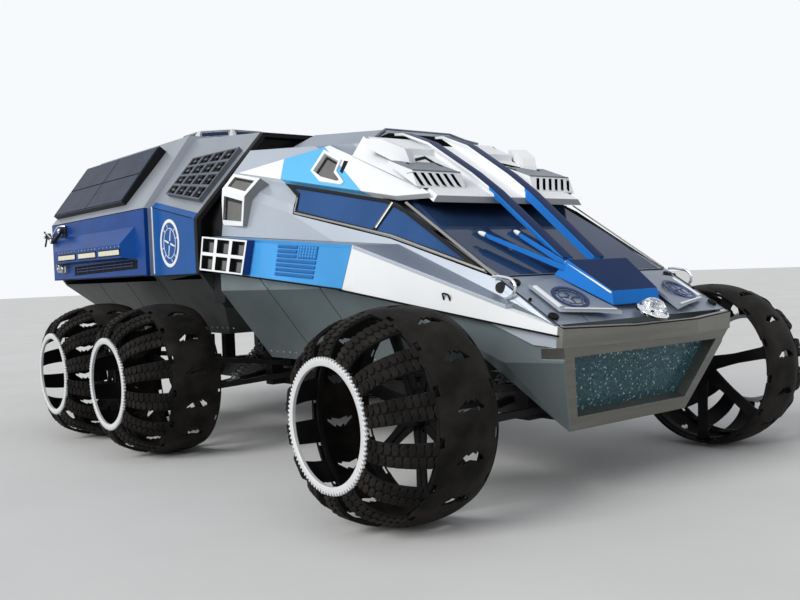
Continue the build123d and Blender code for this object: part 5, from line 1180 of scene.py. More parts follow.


# Visor and intake boxes. The visor is white, with painted shade grey on its front edge and near black on
# the faces that look down; the boxes have slate-grey lids that end behind in black strips of painted shadow
# shaped as a chevron, and six leaning slots whose insides are painted deep shade.
SLATE = (0.140, 0.160, 0.195)
DEEP_SHADOW = (0.006, 0.006, 0.007)
# Matt black: the rear door's rubber seal, and painted shade in the intake gaps, the hatch mouth and the
# slots under the lamp hoods.
black_lining_and_shade = skin("black_rubber_and_painted_shade", (0.010, 0.010, 0.011), 0.7, 0.0, grain=120.0)
VENT_INSIDE = {"X": (0.372, 0.834), "Y": (-2.30, -2.05), "Z": (2.108, 2.216)}


def inside_box(tree, spans):
    """1 inside a box that is the same on both hands, and 0 outside it."""
    share = 1.0
    for axis, (low, high) in spans.items():
        value = place_axis(tree, axis)
        value = figure(tree, "ABSOLUTE", value) if axis == "X" else value
        share = times(tree, share, spread_to(tree, value, 0.0, 1.0, low - JOINT_SOFT, low + JOINT_SOFT))
        share = times(tree, share, spread_to(tree, value, 1.0, 0.0, high - JOINT_SOFT, high + JOINT_SOFT))
    return share


def painted_under_shade(tree):
    """1 on faces that look down, where near-black shade is painted."""
    return spread_to(tree, facing_axis(tree, "Z"), 1.0, 0.0, -0.35, -0.25)


def behind_the_fairings(tree):
    """1 on the part of the visor plate that belongs to the roof."""
    return beyond(tree, ALONG, -1.4290)


def lip_face(tree):
    """1 on the front edge of the visor plate, where grey shade is painted."""
    return inside_box(tree, {"X": (-1.0, 2.0), "Y": (-2.345, -2.336), "Z": (1.5, 2.6)})


def lid(tree):
    """1 on the lids of the intake boxes."""
    return spread_to(tree, facing_axis(tree, "Z"), 0.0, 1.0, 0.80, 0.84)


def slot_inside(tree):
    """1 inside the slots of the intake boxes, behind their leaning front, where deep shade is painted."""
    return times(tree, inside_box(tree, VENT_INSIDE), beyond(tree, (0.0, 1.0, -0.3984), -3.0570))


dress(paint_and_shade_layers("visor_white", WHITE, ((behind_the_fairings, SILVER), (lip_face, (0.30, 0.31, 0.33)),
                                      (painted_under_shade, (0.03, 0.031, 0.033)))), "visor")
dress(paint_and_shade_layers("intake_white", WHITE, ((lid, SLATE), (slot_inside, DEEP_SHADOW))), "vent_boxes")

visor_plate = Facet((0.0, -1.418, 2.585), (1.0, -1.418, 2.585), (0.0, -2.418, 1.987))
vent_lid = Facet((0.0, -2.172, 2.228), (1.0, -2.172, 2.228), (0.0, -1.900, 2.330))
# Black strips laid as painted shadow in the gaps behind the intake lids.
chevrons = [
    strip_along(visor_plate.over((0.610, 0.354, 0.336), (-1.842, -1.748, -1.860)),
                visor_plate.out, 0.030, 0.010),
    strip_along(vent_lid.over([0.716, 0.640], [-1.972, -1.915]), vent_lid.out, 0.026, 0.004),
    strip_along(vent_lid.over([0.402, 0.385], [-1.998, -1.915]), vent_lid.out, 0.026, 0.004),
]
on_both_sides("intake_chevrons", chevrons, black_lining_and_shade, "satin_black")
lid_edge = strip_along([(0.375, -2.172, 2.229), (0.831, -2.172, 2.229)], (0.0, -0.75, 0.66), 0.010, 0.004)
slate_edge = skin("slate_edge", SLATE, 0.35, 0.0)
on_both_sides("intake_lid_edges", [lid_edge], slate_edge, "silver_paint")


# Roof rails and nose block. Tall folded rails, white over the visor and bright blue where they stand over
# the windshield, and a bright blue block that ends them; on the faces that look up all carry navy painted
# shade.
BRIGHT_BLUE = (0.022, 0.190, 0.620)
NAVY_TOP_SHADE = (0.014, 0.030, 0.095)


def over_the_visor(tree):
    """1 on the rails' stretch over the visor."""
    return beyond(tree, ALONG, -2.337)


def painted_top_shade(tree):
    """1 on faces that look up, where navy shade is painted."""
    return spread_to(tree, facing_axis(tree, "Z"), 0.0, 1.0, 0.60, 0.64)


rail_paint = paint_and_shade_layers("rail_white_and_blue", BRIGHT_BLUE, ((over_the_visor, WHITE), (painted_top_shade, NAVY_TOP_SHADE)),
                      vary=0.07, coat=0.0, gloss=0.02)
block_paint = paint_and_shade_layers("block_blue", BRIGHT_BLUE, ((painted_top_shade, NAVY_TOP_SHADE),), vary=0.09,
                       bare=(0.16, 0.36, 0.70), coat=0.0, gloss=0.01)
dress(rail_paint, "twin_rails")
dress(block_paint, "nose_block")


# Roof hatch. A folded slate frame round the mouth at the front of the raised roof; the mouth itself is a
# black plate just inside it, painted shade.
HATCH_X, HATCH_Y, HATCH_TOP_Z = 0.348, -1.277, 2.671
HATCH_FOOT = (0.568, -1.277, 2.556)
foot_x, foot_z = HATCH_FOOT[0] - 0.03, HATCH_FOOT[2] + 0.012
mouth = [(-HATCH_X + 0.02, HATCH_Y, HATCH_TOP_Z - 0.02), (HATCH_X - 0.02, HATCH_Y, HATCH_TOP_Z - 0.02),
         (foot_x, HATCH_Y, foot_z), (-foot_x, HATCH_Y, foot_z)]
make_piece("hatch_mouth", *raised_plate(mouth, (0.0, -1.0, 0.0), 0.002, 0.0005, 0.001), black_lining_and_shade, "body",
           "satin_black")
rim = [(0.556, -1.405, 2.592), (0.470, -1.330, 2.628), (0.352, -1.268, 2.681)]
rim += [(-x, y, z) for x, y, z in rim[::-1]]
make_piece("hatch_rim", *strip_along(rim, (0.0, -0.55, 0.83), 0.020, 0.008, 0.020), slate_edge, "body",
           "satin_black")


# Upper port, quarter bays and pane boxes. White moulded frames, with painted shade: grey on the quarter
# bays' forward faces, near black on the pane boxes' reveals and navy on their forward cheek; behind each
# pane hangs a pale grey blind, which stops short of the frame so that the dark pane shows on its upper side
# as painted shadow.
def front_face_shade(tree):
    """1 on faces that look forward, where shade is painted."""
    return spread_to(tree, facing_axis(tree, "Y"), 1.0, 0.0, -0.62, -0.52)


def box_edges(tree):
    """1 on the reveals of the pane box and on its edges, where near-black shade is painted."""
    return spread_to(tree, figure(tree, "ABSOLUTE", facing_axis(tree, "X")), 1.0, 0.0, 0.45, 0.55)


def front_cheek(tree):
    """1 on the forward cheek of the pane box, where navy shade is painted."""
    return times(tree, front_face_shade(tree), beyond(tree, (0.0, -1.0, -0.3895), 0.2125))


quarter_paint = paint_and_shade_layers("quarter_white", WHITE, ((front_face_shade, (0.24, 0.245, 0.25)),))
pane_box_paint = paint_and_shade_layers("pane_box_white", WHITE, ((box_edges, (0.020, 0.021, 0.022)),
                                                    (front_cheek, (0.020, 0.060, 0.230))))
dress(white_paint, "port_frames")
dress(quarter_paint, "quarter_bays")
dress(pane_box_paint, "window_boxes")
dress(small_glass, "window_panes")
blind_cloth = skin("blind_cloth", (0.175, 0.173, 0.168), 0.7, 0.0, vary=0.10, cloud=5.0, grain=420.0,
                   bump=0.2, wear=0.1)


def share_point(corners, u, v):
    """A point inside four corners, by its share along and across."""
    a, b, c, d = (np.asarray(p, float) for p in corners)
    top, low = a + (b - a) * u, d + (c - d) * u
    return top + (low - top) * v


def blind_on(corners, outward, u0, u1, v0, v1, drop):
    """A blind: a thin plate over part of a pane, at a depth below the frame's face."""
    outward = unit(outward)
    spots = ((u0, v0), (u1, v0), (u1, v1), (u0, v1))
    outline = [share_point(corners, u, v) - outward * drop for u, v in spots]
    return raised_plate(outline, outward, 0.0015, 0.0005, 0.0005)


QUARTER_LOW = ((1.320, -0.224, 2.268), (1.320, -0.600, 2.172), (1.320, -0.551, 1.930),
               (1.320, -0.165, 1.964))
QUARTER_HIGH = ((1.246, -0.300, 2.388), (1.232, -0.714, 2.309), (1.320, -0.600, 2.172),
                (1.320, -0.224, 2.268))
PORT_PANE = ((0.878, -1.146, 2.464), (0.883, -1.335, 2.380), (0.950, -1.367, 2.287), (0.975, -1.467, 2.216),
             (0.986, -1.448, 2.211), (1.006, -1.269, 2.262), (0.998, -1.151, 2.322))
PANE_BOX = ((BELT_X, -0.150, 1.869), (BELT_X, -0.915, 1.796), (BELT_X, -0.811, 1.529),
            (BELT_X, -0.075, 1.588))
quarter_out = unit(np.cross(np.subtract(QUARTER_HIGH[1], QUARTER_HIGH[0]),
                            np.subtract(QUARTER_HIGH[3], QUARTER_HIGH[0])))
quarter_out = quarter_out * np.sign(quarter_out[0])
port_out = Facet(PORT_PANE[0], PORT_PANE[2], PORT_PANE[5]).out
blinds = [blind_on(QUARTER_LOW, ACROSS, 0.20, 0.915, 0.30, 0.845, 0.0205),
          blind_on(QUARTER_HIGH, quarter_out, 0.15, 0.875, 0.28, 0.775, 0.0205)]
for column in range(3):
    for row in range(2):
        u0, u1 = (column + 0.24) / 3.0, (column + 0.66) / 3.0
        v0, v1 = (row + 0.33) / 2.0, (row + 0.90) / 2.0
        blinds.append(blind_on(PANE_BOX, ACROSS, u0, u1, v0, v1, -0.0215))
on_both_sides("window_blinds", blinds, blind_cloth, "white_paint")
# The port's blind is shrunk and set down, so that the dark pane shows above it as painted shadow.
port_blind = np.array(PORT_PANE)
port_middle = port_blind.mean(0)
port_blind = [port_middle + (p - port_middle) * 0.86 + (0.004, -0.014, -0.012) - port_out * 0.0195
              for p in port_blind]
on_both_sides("port_blinds", [raised_plate(port_blind, port_out, 0.0015, 0.0005, 0.0005)], blind_cloth,
              "white_paint")
port_slot = side_upper.at([-1.375, -1.421, -1.444, -1.406], [2.388, 2.378, 2.277, 2.297])
on_both_sides("port_side_slots", [raised_plate(port_slot, side_upper.out, 0.002, 0.0005, 0.001)],
              seam_black, "satin_black")


# Cupola. A low white turret moulded in eight leaning sides, with a navy window let into each and a
# thin black seal round every window.
CUPOLA_Y, CUPOLA_FOOT_Z = 2.090, 2.938
CUPOLA_WINDOW_AT = (0.4804, 0.135)
CUPOLA_SIDES = 8
CUPOLA_LEAN = np.radians(30.0)
CUPOLA_PANE_HALF = (0.146, 0.027)
CUPOLA_SEAL_HALF = (0.158, 0.038)
CUPOLA_PANE_SUNK = 0.010
ROUND_FOUR = ((-1, -1), (1, -1), (1, 1), (-1, 1))
dress(skin("cupola_white", (0.62, 0.64, 0.66), 0.34, 0.15, coat=0.3, vary=0.06, grain=240.0, bump=0.03,
           bare=(0.8, 0.8, 0.8)), "cupola")
panes, seals = [], []
for turn in full_turn(CUPOLA_SIDES):
    away = np.array([np.cos(turn), np.sin(turn), 0.0])
    side = np.array([-np.sin(turn), np.cos(turn), 0.0])
    out_of = away * np.cos(CUPOLA_LEAN) + np.array([0.0, 0.0, np.sin(CUPOLA_LEAN)])
    climb = np.cross(out_of, side)
    climb = climb * np.sign(climb[2])
    middle = np.array([0.0, CUPOLA_Y, CUPOLA_FOOT_Z + CUPOLA_WINDOW_AT[1]]) + away * CUPOLA_WINDOW_AT[0]
    plane = np.stack([side, climb])
    pane = middle - out_of * CUPOLA_PANE_SUNK + (np.array(ROUND_FOUR) * CUPOLA_PANE_HALF) @ plane
    panes.append(raised_plate(pane, out_of, 0.003, 0.001))
    edge = middle + (np.array(ROUND_FOUR) * CUPOLA_SEAL_HALF) @ plane
    seals.append(strip_along(edge, out_of, 0.007, 0.002, closed=True))
make_piece("cupola_windows", *joined(panes), deep_glass("navy_glass", (0.014, 0.030, 0.095), 0.08, 1.0), "body",
           "dark_glass")
make_piece("cupola_window_seals", *joined(seals), seam_black, "body", "satin_black")


# Doors. Folded leaves in silver metallic below the line of the sill; above it, round the panes, they
# are faced with black rubber.
SILL_LINES = ((0.2337, -1.150, 1.993), (0.3313, -2.130, 1.764))


def above_sill(tree):
    """1 above the bent line of the door's sill."""
    shares = [beyond(tree, (0.0, -fall, 1.0), z - fall * y + 0.005) for fall, y, z in SILL_LINES]
    return figure(tree, "MAXIMUM", *shares)


dress(paint_and_shade_layers("door_silver_and_rubber", SILVER, ((above_sill, (0.018, 0.018, 0.020)),), metal=0.3),
      "door_left", "door_right")


# Wiper arms. Two square folded arms in bright blue that taper to white end caps; their spindles run
# inside them from the nose block.
def square_arm(foot, tip, root, end):
    """A bar of square section: its corners carried from foot to tip as its width eases from root to end."""
    foot, tip = np.asarray(foot, float), np.asarray(tip, float)
    ahead = unit(tip - foot)
    side = unit(np.cross(ahead, UP))
    over = np.cross(side, ahead)
    share = np.array([0.0, 0.02, 0.5, 0.97, 1.0])
    width = np.array([root * 0.86, root, (root + end) / 2.0, end, end * 0.8])
    ring = np.array([(-1.0, -0.7), (-0.9, -0.8), (0.9, -0.8), (1.0, -0.7), (1.0, 0.7), (0.9, 0.8),
                     (-0.9, 0.8), (-1.0, 0.7)])
    points = (foot + share[:, None] * (tip - foot))[:, None] + width[:, None, None] / 2.0 * (
        ring[None, :, :1] * side + ring[None, :, 1:] * over)
    faces = grid_faces(5, 8, close_columns=True) + [list(reversed(range(8))), [32 + k for k in range(8)]]
    return points.reshape(-1, 3), faces


arms = []
for foot, tip in np.array(WIPER_ARMS):
    arms.append(square_arm(foot + (tip - foot) * 0.02, tip - (tip - foot) * 0.08, 0.052, 0.040))
# The arms take the block's paint, so their faces that look up carry its navy painted shade.
make_piece("wiper_arms", *joined(arms), block_paint, "body", "bright_blue", 40.0)


# Rail caps. A broad cap folded from sheet over the top of each roof rail, which takes the rails' paint:
# navy painted shade on the face that looks up.
RAIL_LINE = ((-1.280, 2.646), (-1.390, 2.634), (-1.690, 2.519), (-2.160, 2.231), (-2.385, 2.072),
             (-3.010, 1.556))
CAP_WIDTH = 0.105
rail_y, rail_z = np.array(RAIL_LINE).T
rail_x = 0.146 + 0.054 * (rail_y + 3.010) / 1.730
cap_out = np.gradient(np.stack([rail_y, rail_z], 1), axis=0)
cap_out = np.stack([np.zeros(6), cap_out[:, 1], -cap_out[:, 0]], 1)
cap_out = units(cap_out)
cap = strip_along(np.stack([rail_x + 0.022, rail_y, rail_z], 1), cap_out, CAP_WIDTH, 0.006, 0.016)
on_both_sides("rail_caps", [cap], rail_paint, "deep_blue")


# Grille screens. Each pocket of the roof grilles is halved both ways by a thinner black bar, and a
# small turned stud is pressed into every crossing.
GRILLE_POINTS = ((1.388, 0.754), (1.408, 0.050), (0.985, 0.055), (1.085, 0.780))
GRILLE_HIGH = 0.045
GRILLE_CELLS = 4
GRILLE_SUNK = 0.006
lift_up = np.array([0.0, 0.0, GRILLE_HIGH / lab_front_slope.out[2]])
corners = [lab_front_slope.over(x, y) + lift_up for x, y in GRILLE_POINTS]
grille_out = lab_front_slope.out
stud = [(0.0, 0.013), (0.004, 0.013), (0.0055, 0.011), (0.0055, 0.0)]
bars, studs = [], []
for t in (np.arange(GRILLE_CELLS) + 0.5) / GRILLE_CELLS:
    for spots in (((t, 0.03), (t, 0.97)), ((0.03, t), (0.97, t))):
        ends = [share_point(corners, *spot) - grille_out * GRILLE_SUNK for spot in spots]
        bars.append(strip_along(np.linspace(*ends, 3), grille_out, 0.020, 0.002, 0.022))
spots = np.arange(1, 2 * GRILLE_CELLS) / (2.0 * GRILLE_CELLS)
for u in spots:
    for v in spots:
        at = share_point(corners, u, v) - grille_out * GRILLE_SUNK
        studs.append(turned_about(at, grille_out, stud, 8))
grille_metal = skin("grille_screen", (0.20, 0.21, 0.23), 0.35, 0.6, vary=0.2, grain=200.0, bump=0.1)
on_both_sides("grille_screens", bars, frame_black, "satin_black")
on_both_sides("grille_studs", studs, grille_metal, "silver_paint", 30.0)


# Under the lamp hoods. A slot in each blue side, laid as a black plate of painted shade, with a ladder of
# navy bars in it; on the hood a black frame and upright ribs on each lamp, and a row of dome-headed screws
# above it.
SLOT_CORNERS = ((2.860, 1.700), (1.132, 1.722), (1.144, 1.633), (2.874, 1.603))
RIGHT = (-1.0, 0.0, 0.0)
slot_plate = [(SIDE_X, y, z) for y, z in SLOT_CORNERS]
on_both_sides("hood_slots", [raised_plate(slot_plate, ACROSS, 0.003, 0.001)], black_lining_and_shade, "satin_black")
rail_pieces = []
for level in (0.30, 0.62):
    line = [share_point(slot_plate, u, level) + (0.004, 0.0, 0.0) for u in (0.05, 0.5, 0.95)]
    rail_pieces.append(strip_along(line, ACROSS, 0.010, 0.008))
for u in np.linspace(0.06, 0.94, 11):
    ends = [share_point(slot_plate, u, v) + (0.003, 0.0, 0.0) for v in (0.12, 0.86)]
    rail_pieces.append(strip_along(ends, ACROSS, 0.007, 0.005))
on_both_sides("slot_ladders", rail_pieces, navy_paint, "deep_blue")
LAMP_ROWS = ((1.566, 0.534), (2.175, 0.491), (2.788, 0.521))
hood_low = np.array([SIDE_X + 0.110, 0.0, 1.876])
hood_toe = np.array([SIDE_X + 0.105, 0.0, 1.748])
hood_out = unit(np.array([1.0, 0.0, -0.039]))
down = unit(hood_toe - hood_low)
middle = (hood_low + hood_toe) / 2.0 + down * 0.012
screw_head = [(-0.001, 0.007), (0.001, 0.007), (0.003, 0.005), (0.0035, 0.0)]
lamp_rims, hood_heads = [], []
for y, length in LAMP_ROWS:
    half = length / 2.0 + 0.007
    rim_line = [middle + (0.0, y + a * half, 0.0) + down * b * 0.030 for a, b in ROUND_FOUR]
    lamp_rims.append(strip_along(rim_line, hood_out, 0.012, 0.006, closed=True))
    for share in np.linspace(-0.48, 0.48, 6):
        at = hood_low + (0.0, y + share * length, 0.0) + down * 0.020
        hood_heads.append(turned_about(at, hood_out, screw_head, 8))
on_both_sides("lamp_rims", lamp_rims, frame_black, "satin_black")
on_both_sides("lamp_hood_screws", hood_heads, screw_steel, "silver_paint")
lens_ribs = []
for y, length in LAMP_ROWS:
    for share in np.linspace(-0.46, 0.46, 13):
        at = middle + (0.0, y + share * length, 0.0) + hood_out * 0.0078
        lens_ribs.append(strip_along([at - down * 0.019, at + down * 0.019], hood_out, 0.014, 0.0022))
on_both_sides("lamp_lens_ribs", lens_ribs, bpy.data.materials["fluted_lamp_lens"], "lamp_lens", 50.0)


# Tool arm. Cast black links with bright turned joints, a hose along them and a small clamp under
# the stowed gripper.
ARM_JOINTS = ((-1.580, 3.110, 2.110), (-1.580, 3.400, 2.010), (-1.580, 3.600, 2.080))
dress(skin("cast_arm_black", (0.030, 0.031, 0.033), 0.45, 0.3, vary=0.2, grain=150.0, bump=0.1,
           bare=(0.3, 0.3, 0.3)), "tool_arm")
joint_profile = [(0.0, 0.030), (0.018, 0.030), (0.022, 0.026), (0.022, 0.014), (0.030, 0.012), (0.031, 0.0)]
hubs = []
for at in ARM_JOINTS:
    for hand in (-1.0, 1.0):
        axle = np.array((hand, 0.0, 0.0))
        hubs.append(turned_about(at + axle * 0.012, axle, joint_profile, 20))
hose = [(-1.545, 3.08, 2.16), (-1.60, 3.16, 2.165), (-1.61, 3.30, 2.085), (-1.60, 3.42, 2.045),
        (-1.605, 3.55, 2.11), (-1.585, 3.64, 2.115)]
hubs.append(rod_along(eased(hose, 40), 0.006, 8))
make_piece("tool_arm_joints", *joined(hubs), chrome, "body", "chrome_tube", 35.0)
clamp_line = [(-SIDE_X, y, z) for y, z in ((3.100, 1.640), (3.365, 1.650), (3.365, 1.722), (3.100, 1.716))]
big_boss = [(0.0, 0.042), (0.026, 0.042), (0.032, 0.036), (0.032, 0.016), (0.046, 0.014), (0.047, 0.0)]
small_boss = [(0.0, 0.026), (0.022, 0.026), (0.028, 0.020), (0.028, 0.0)]
clamp_rod = eased([(-1.585, 3.165, 1.680), (-1.605, 3.190, 1.735), (-1.600, 3.270, 1.760),
                   (-1.580, 3.300, 1.700)], 20)
clamp = [raised_plate(clamp_line, RIGHT, 0.030, 0.006),
         turned_about((-1.555, 3.165, 1.680), RIGHT, big_boss, 24),
         turned_about((-1.555, 3.300, 1.688), RIGHT, small_boss, 20), rod_along(clamp_rod, 0.008, 8)]
make_piece("gripper_clamp", *joined(clamp), screw_steel, "body", "silver_paint", 35.0)


# Body silver. A metallic paint with painted sky reflection: faces that look up are painted darker and
# bluer; the laboratory is a shade darker all over and its front wall, behind the black frame, is painted
# black as shade.
SILVER_SKY_REFLECTION = (0.235, 0.275, 0.345)
HOOD_SKY_REFLECTION = (0.190, 0.225, 0.285)


def painted_sky_reflection(tree):
    """The share of painted sky reflection, darker and bluer, growing as a face turns up."""
    return spread_to(tree, facing_axis(tree, "Z"), 0.0, 1.0, 0.62, 0.92)


def front_wall(tree):
    """1 on the laboratory's front wall, where black shade is painted."""
    return times(tree, front_face_shade(tree), beyond(tree, (0.0, -1.0, 0.0), -0.101))


def deck_edge(tree):
    """1 on the level stretch of the deck's outer edge."""
    return inside_box(tree, {"X": (1.4165, 1.43), "Y": (-2.221, 0.0), "Z": (1.6, 1.9)})


def deck_edge_behind(tree):
    """1 on the deck's outer edge behind the belt's slanting joint."""
    return times(tree, deck_edge(tree), behind_joint(tree))


cab_layers = ((painted_sky_reflection, SILVER_SKY_REFLECTION), (deck_edge, WHITE), (deck_edge_behind, SKY_BLUE))
dress(paint_and_shade_layers("cockpit_silver", SILVER, cab_layers, rough=0.36, metal=0.45), "cab_shell")
dress(paint_and_shade_layers("hood_silver", SILVER, ((painted_sky_reflection, HOOD_SKY_REFLECTION),), rough=0.36, metal=0.45), "hood")
dress(paint_and_shade_layers("laboratory_silver_with_shade", LAB_SILVER, ((front_wall, DEEP_SHADOW),), rough=0.38, metal=0.4,
               vary=0.08), "lab_shell")


# Visor gussets. A folded white sheet on each side that closes the visor from its plate down to the
# upper edge of the side panel.
gusset_y = np.linspace(-1.430, -2.235, 9)
panel_edge = np.stack([np.full(9, 0.8215), gusset_y, 2.541 + 0.4013 * (gusset_y + 1.126) + 0.001], 1)
plate_line = visor_plate.over(np.full(9, 0.705), gusset_y) + (0.0, 0.0, 0.002)
share = np.linspace(0.0, 1.0, 5)[:, None, None]
gusset = (panel_edge[None] + share * (plate_line - panel_edge)[None]).reshape(-1, 3)
gusset_faces = grid_faces(5, 9)
if np.cross(gusset[1] - gusset[0], gusset[9] - gusset[0])[2] < 0:
    gusset_faces = flipped(gusset_faces)
gussets = both_hands((gusset, gusset_faces))
make_piece("visor_gussets", *gussets, bpy.data.materials["visor_white"], "body", "white_paint", 30.0, 0.003)


# Laboratory's rear wall. Riveted silver panels round the door: a black weather seal in a folded
# steel frame, three barrel hinges on the vehicle's right, a rain gutter above it, and on the door
# two pressed panels, a ribbed kick plate and a turned grip boss.
REAR_Y = 3.564
DOOR_X, DOOR_LOW, DOOR_HIGH = 0.410, 1.600, 2.840
HINGE_LEAF = ((0.014, -0.045), (0.066, -0.032), (0.066, 0.032), (0.014, 0.045))


def on_rear_wall(places, hand=1.0, off=0.0):
    """Points of the rear wall from (x, height) pairs, on one hand and a little off the wall."""
    return [(hand * x, REAR_Y + off, z) for x, z in places]


def wall_box(x0, x1, z0, z1):
    """The four corners of a rectangle on the rear wall."""
    return on_rear_wall(((x0, z0), (x1, z0), (x1, z1), (x0, z1)))


seal_line = wall_box(-DOOR_X - 0.014, DOOR_X + 0.014, DOOR_LOW - 0.010, DOOR_HIGH + 0.012)
frame_line = [(x * 1.062, y, z + (0.020 if z > 2.0 else -0.006)) for x, y, z in seal_line]
door_seal = strip_along(seal_line, ALONG, 0.012, 0.009, closed=True)
door_frame = [strip_along(frame_line, ALONG, 0.024, 0.014, closed=True)]
gutter_line = on_rear_wall(((-DOOR_X - 0.09, DOOR_HIGH + 0.060), (DOOR_X + 0.09, DOOR_HIGH + 0.060)))
gutter = strip_along(gutter_line, ALONG, 0.016, 0.034)
make_piece("rear_door_seal", *door_seal, black_lining_and_shade, "body", "satin_black")
for hinge_z in (1.78, 2.22, 2.66):
    barrel = [(-DOOR_X - 0.004, REAR_Y + 0.008, hinge_z + a) for a in (-0.055, -0.050, 0.050, 0.055)]
    door_frame.append(rod_along(barrel, [0.005, 0.007, 0.007, 0.005], 14))
    leaf = on_rear_wall([(-DOOR_X - x, hinge_z + z) for x, z in HINGE_LEAF])
    door_frame.append(raised_plate(leaf, ALONG, 0.016, 0.003))
frame_x, frame_top = frame_line[1][0], frame_line[2][2]
for ends, count in ((((-DOOR_X, frame_top), (DOOR_X, frame_top)), 7),
                    (((-frame_x, 1.66), (-frame_x, 2.80)), 9), (((frame_x, 1.66), (frame_x, 2.80)), 9)):
    door_frame.append(screw_row(*on_rear_wall(ends, off=0.014), ALONG, count, 0.006))
make_piece("rear_door_frame", *joined(door_frame + [gutter]), frame_black, "body", "satin_black", 30.0)

wall_seams, wall_rivets = [], []
for hand in (-1.0, 1.0):
    for path in (((0.470, 2.195), (1.500, 2.195)), ((0.960, 1.600), (0.960, 2.190)),
                 ((0.960, 2.200), (0.960, 2.860))):
        wall_seams.append(strip_along(on_rear_wall(path, hand), ALONG, 0.006, 0.0015))
    for *ends, count in (((0.500, 2.220), (1.480, 2.220), 15), ((0.500, 2.170), (1.490, 2.170), 15),
                              ((0.985, 1.620), (0.985, 2.130), 9), ((0.935, 1.620), (0.935, 2.130), 9),
                              ((0.985, 2.260), (0.985, 2.800), 9), ((0.935, 2.260), (0.935, 2.860), 10),
                              ((0.500, 1.600), (1.440, 1.600), 14), ((0.470, 2.905), (0.900, 2.905), 7),
                              ((1.470, 1.640), (1.500, 2.150), 9), ((1.490, 2.225), (0.900, 2.905), 14)):
        wall_rivets.append(screw_row(*on_rear_wall(ends, hand), ALONG, count, 0.007))
make_piece("rear_wall_seams", *joined(wall_seams), seam_black, "body", "satin_black")
make_piece("rear_wall_rivets", *joined(wall_rivets), screw_steel, "body", "silver_paint")

leaf_plates = [raised_plate(wall_box(-0.330, 0.230, low, high), ALONG, 0.008, 0.006)
               for low, high in ((1.860, 2.200), (2.260, 2.740))]
make_piece("rear_door_panels", *joined(leaf_plates), bpy.data.materials["laboratory_silver_with_shade"],
           "lab_door", "lab_silver", 50.0)
kick = [raised_plate(wall_box(-0.370, 0.370, 1.625, 1.790), ALONG, 0.004, 0.002)]
for x in np.linspace(-0.34, 0.34, 18):
    kick.append(strip_along(on_rear_wall(((x, 1.645), (x, 1.770)), off=0.003), ALONG, 0.010, 0.004))
grip_boss = [(0.0, 0.022), (0.008, 0.022), (0.010, 0.019), (0.010, 0.0)]
kick.append(turned_about((0.300, REAR_Y, 1.905), ALONG, grip_boss, 20))
make_piece("rear_door_kick_plate", *joined(kick), screw_steel, "lab_door", "silver_paint", 35.0)


# Seats. Sewn cushions, backs and headrests on pressed steel shells over turned pedestals: foam under
# woven cloth, blown up with cloth pressure, with sewn channels and a border seam pressed in after.
SEAT_FLOOR = 0.850
BACK_LEAN = np.radians(12.0)
BACK_FOOT = (0.250, 0.365)
FOAM_STEP = 0.011
CORNER_POWER = 0.34
BLOW_STEPS = 20
SEAM_INSET, SEAM_DEEP, SEAM_WIDE = 0.045, 0.007, 0.006
CHANNELS, CHANNEL_DEEP, CHANNEL_WIDE = (-0.33, 0.0, 0.33), 0.008, 0.007
SEAT_NAMES = ("front_right", "front_left", "rear_right", "rear_left")
SEAT_PLACES = ((-0.430, -1.850), (0.430, -1.850), (-0.430, -0.850), (0.430, -0.850))
# Each pad's half sizes, its middle, whether it leans with the back, and the cap on its swelling
SEAT_PADS = {"seat_cushion": ((0.236, 0.246, 0.044), (0.0, -0.004, 0.372), False, 0.017),
             "seat_back": ((0.226, 0.044, 0.306), (0.0, -0.002, 0.322), True, 0.015),
             "seat_headrest": ((0.132, 0.035, 0.092), (0.0, 0.0, 0.745), True, 0.009)}


def woven_cloth():
    """Coarse seat cloth: two crossing thread directions, with flecks of a lighter yarn."""
    material, tree, shader = new_finish("seat_weave", 0.85, 0.0)
    shader.inputs["Sheen Weight"].default_value = 0.3
    warp = noise(tree, 260.0, 2.0, (1.0, 0.18, 1.0))
    weft = noise(tree, 260.0, 2.0, (0.18, 1.0, 0.18))
    weave = times(tree, warp, weft)
    fleck = spread_to(tree, weave, 0.0, 1.0, 0.15, 0.36)
    base = blend_to(tree, fleck, (0.030, 0.034, 0.042), (0.085, 0.092, 0.105))
    tree.links.new(base, shader.inputs["Base Color"])
    emboss(tree, shader, weave, 0.6, 0.002)
    return material


def rounded_block(half):
    """A closed block with rounded edges: a sphere's latitude and longitude whose sines and cosines
    are raised to a small power, keeping their signs, and stretched to the half sizes."""
    rise = np.linspace(-np.pi / 2.0, np.pi / 2.0, 25)[1:-1, None]
    turn = full_turn(48)[None, :]
    waves = (np.cos(rise), np.sin(rise), np.cos(turn), np.sin(turn))
    soft = [np.sign(wave) * np.abs(wave) ** CORNER_POWER for wave in waves]
    points = np.stack([half[0] * soft[0] * soft[2], half[1] * soft[0] * soft[3],
                       half[2] * soft[1] + 0.0 * turn], -1)
    rows, columns = points.shape[:2]
    faces = flipped(grid_faces(rows, columns, close_columns=True))
    poles = np.array([[0.0, 0.0, -half[2]], [0.0, 0.0, half[2]]])
    low, high = rows * columns, rows * columns + 1
    faces += [[(j + 1) % columns, j, low][::-1] for j in range(columns)]
    last = (rows - 1) * columns
    faces += [[last + j, last + (j + 1) % columns, high] for j in range(columns)]
    return np.concatenate([points.reshape(-1, 3), poles]), faces


def mesh_points(mesh):
    """The points of a mesh as rows."""
    flat = np.empty(len(mesh.vertices) * 3)
    mesh.vertices.foreach_get("co", flat)
    return flat.reshape(-1, 3)


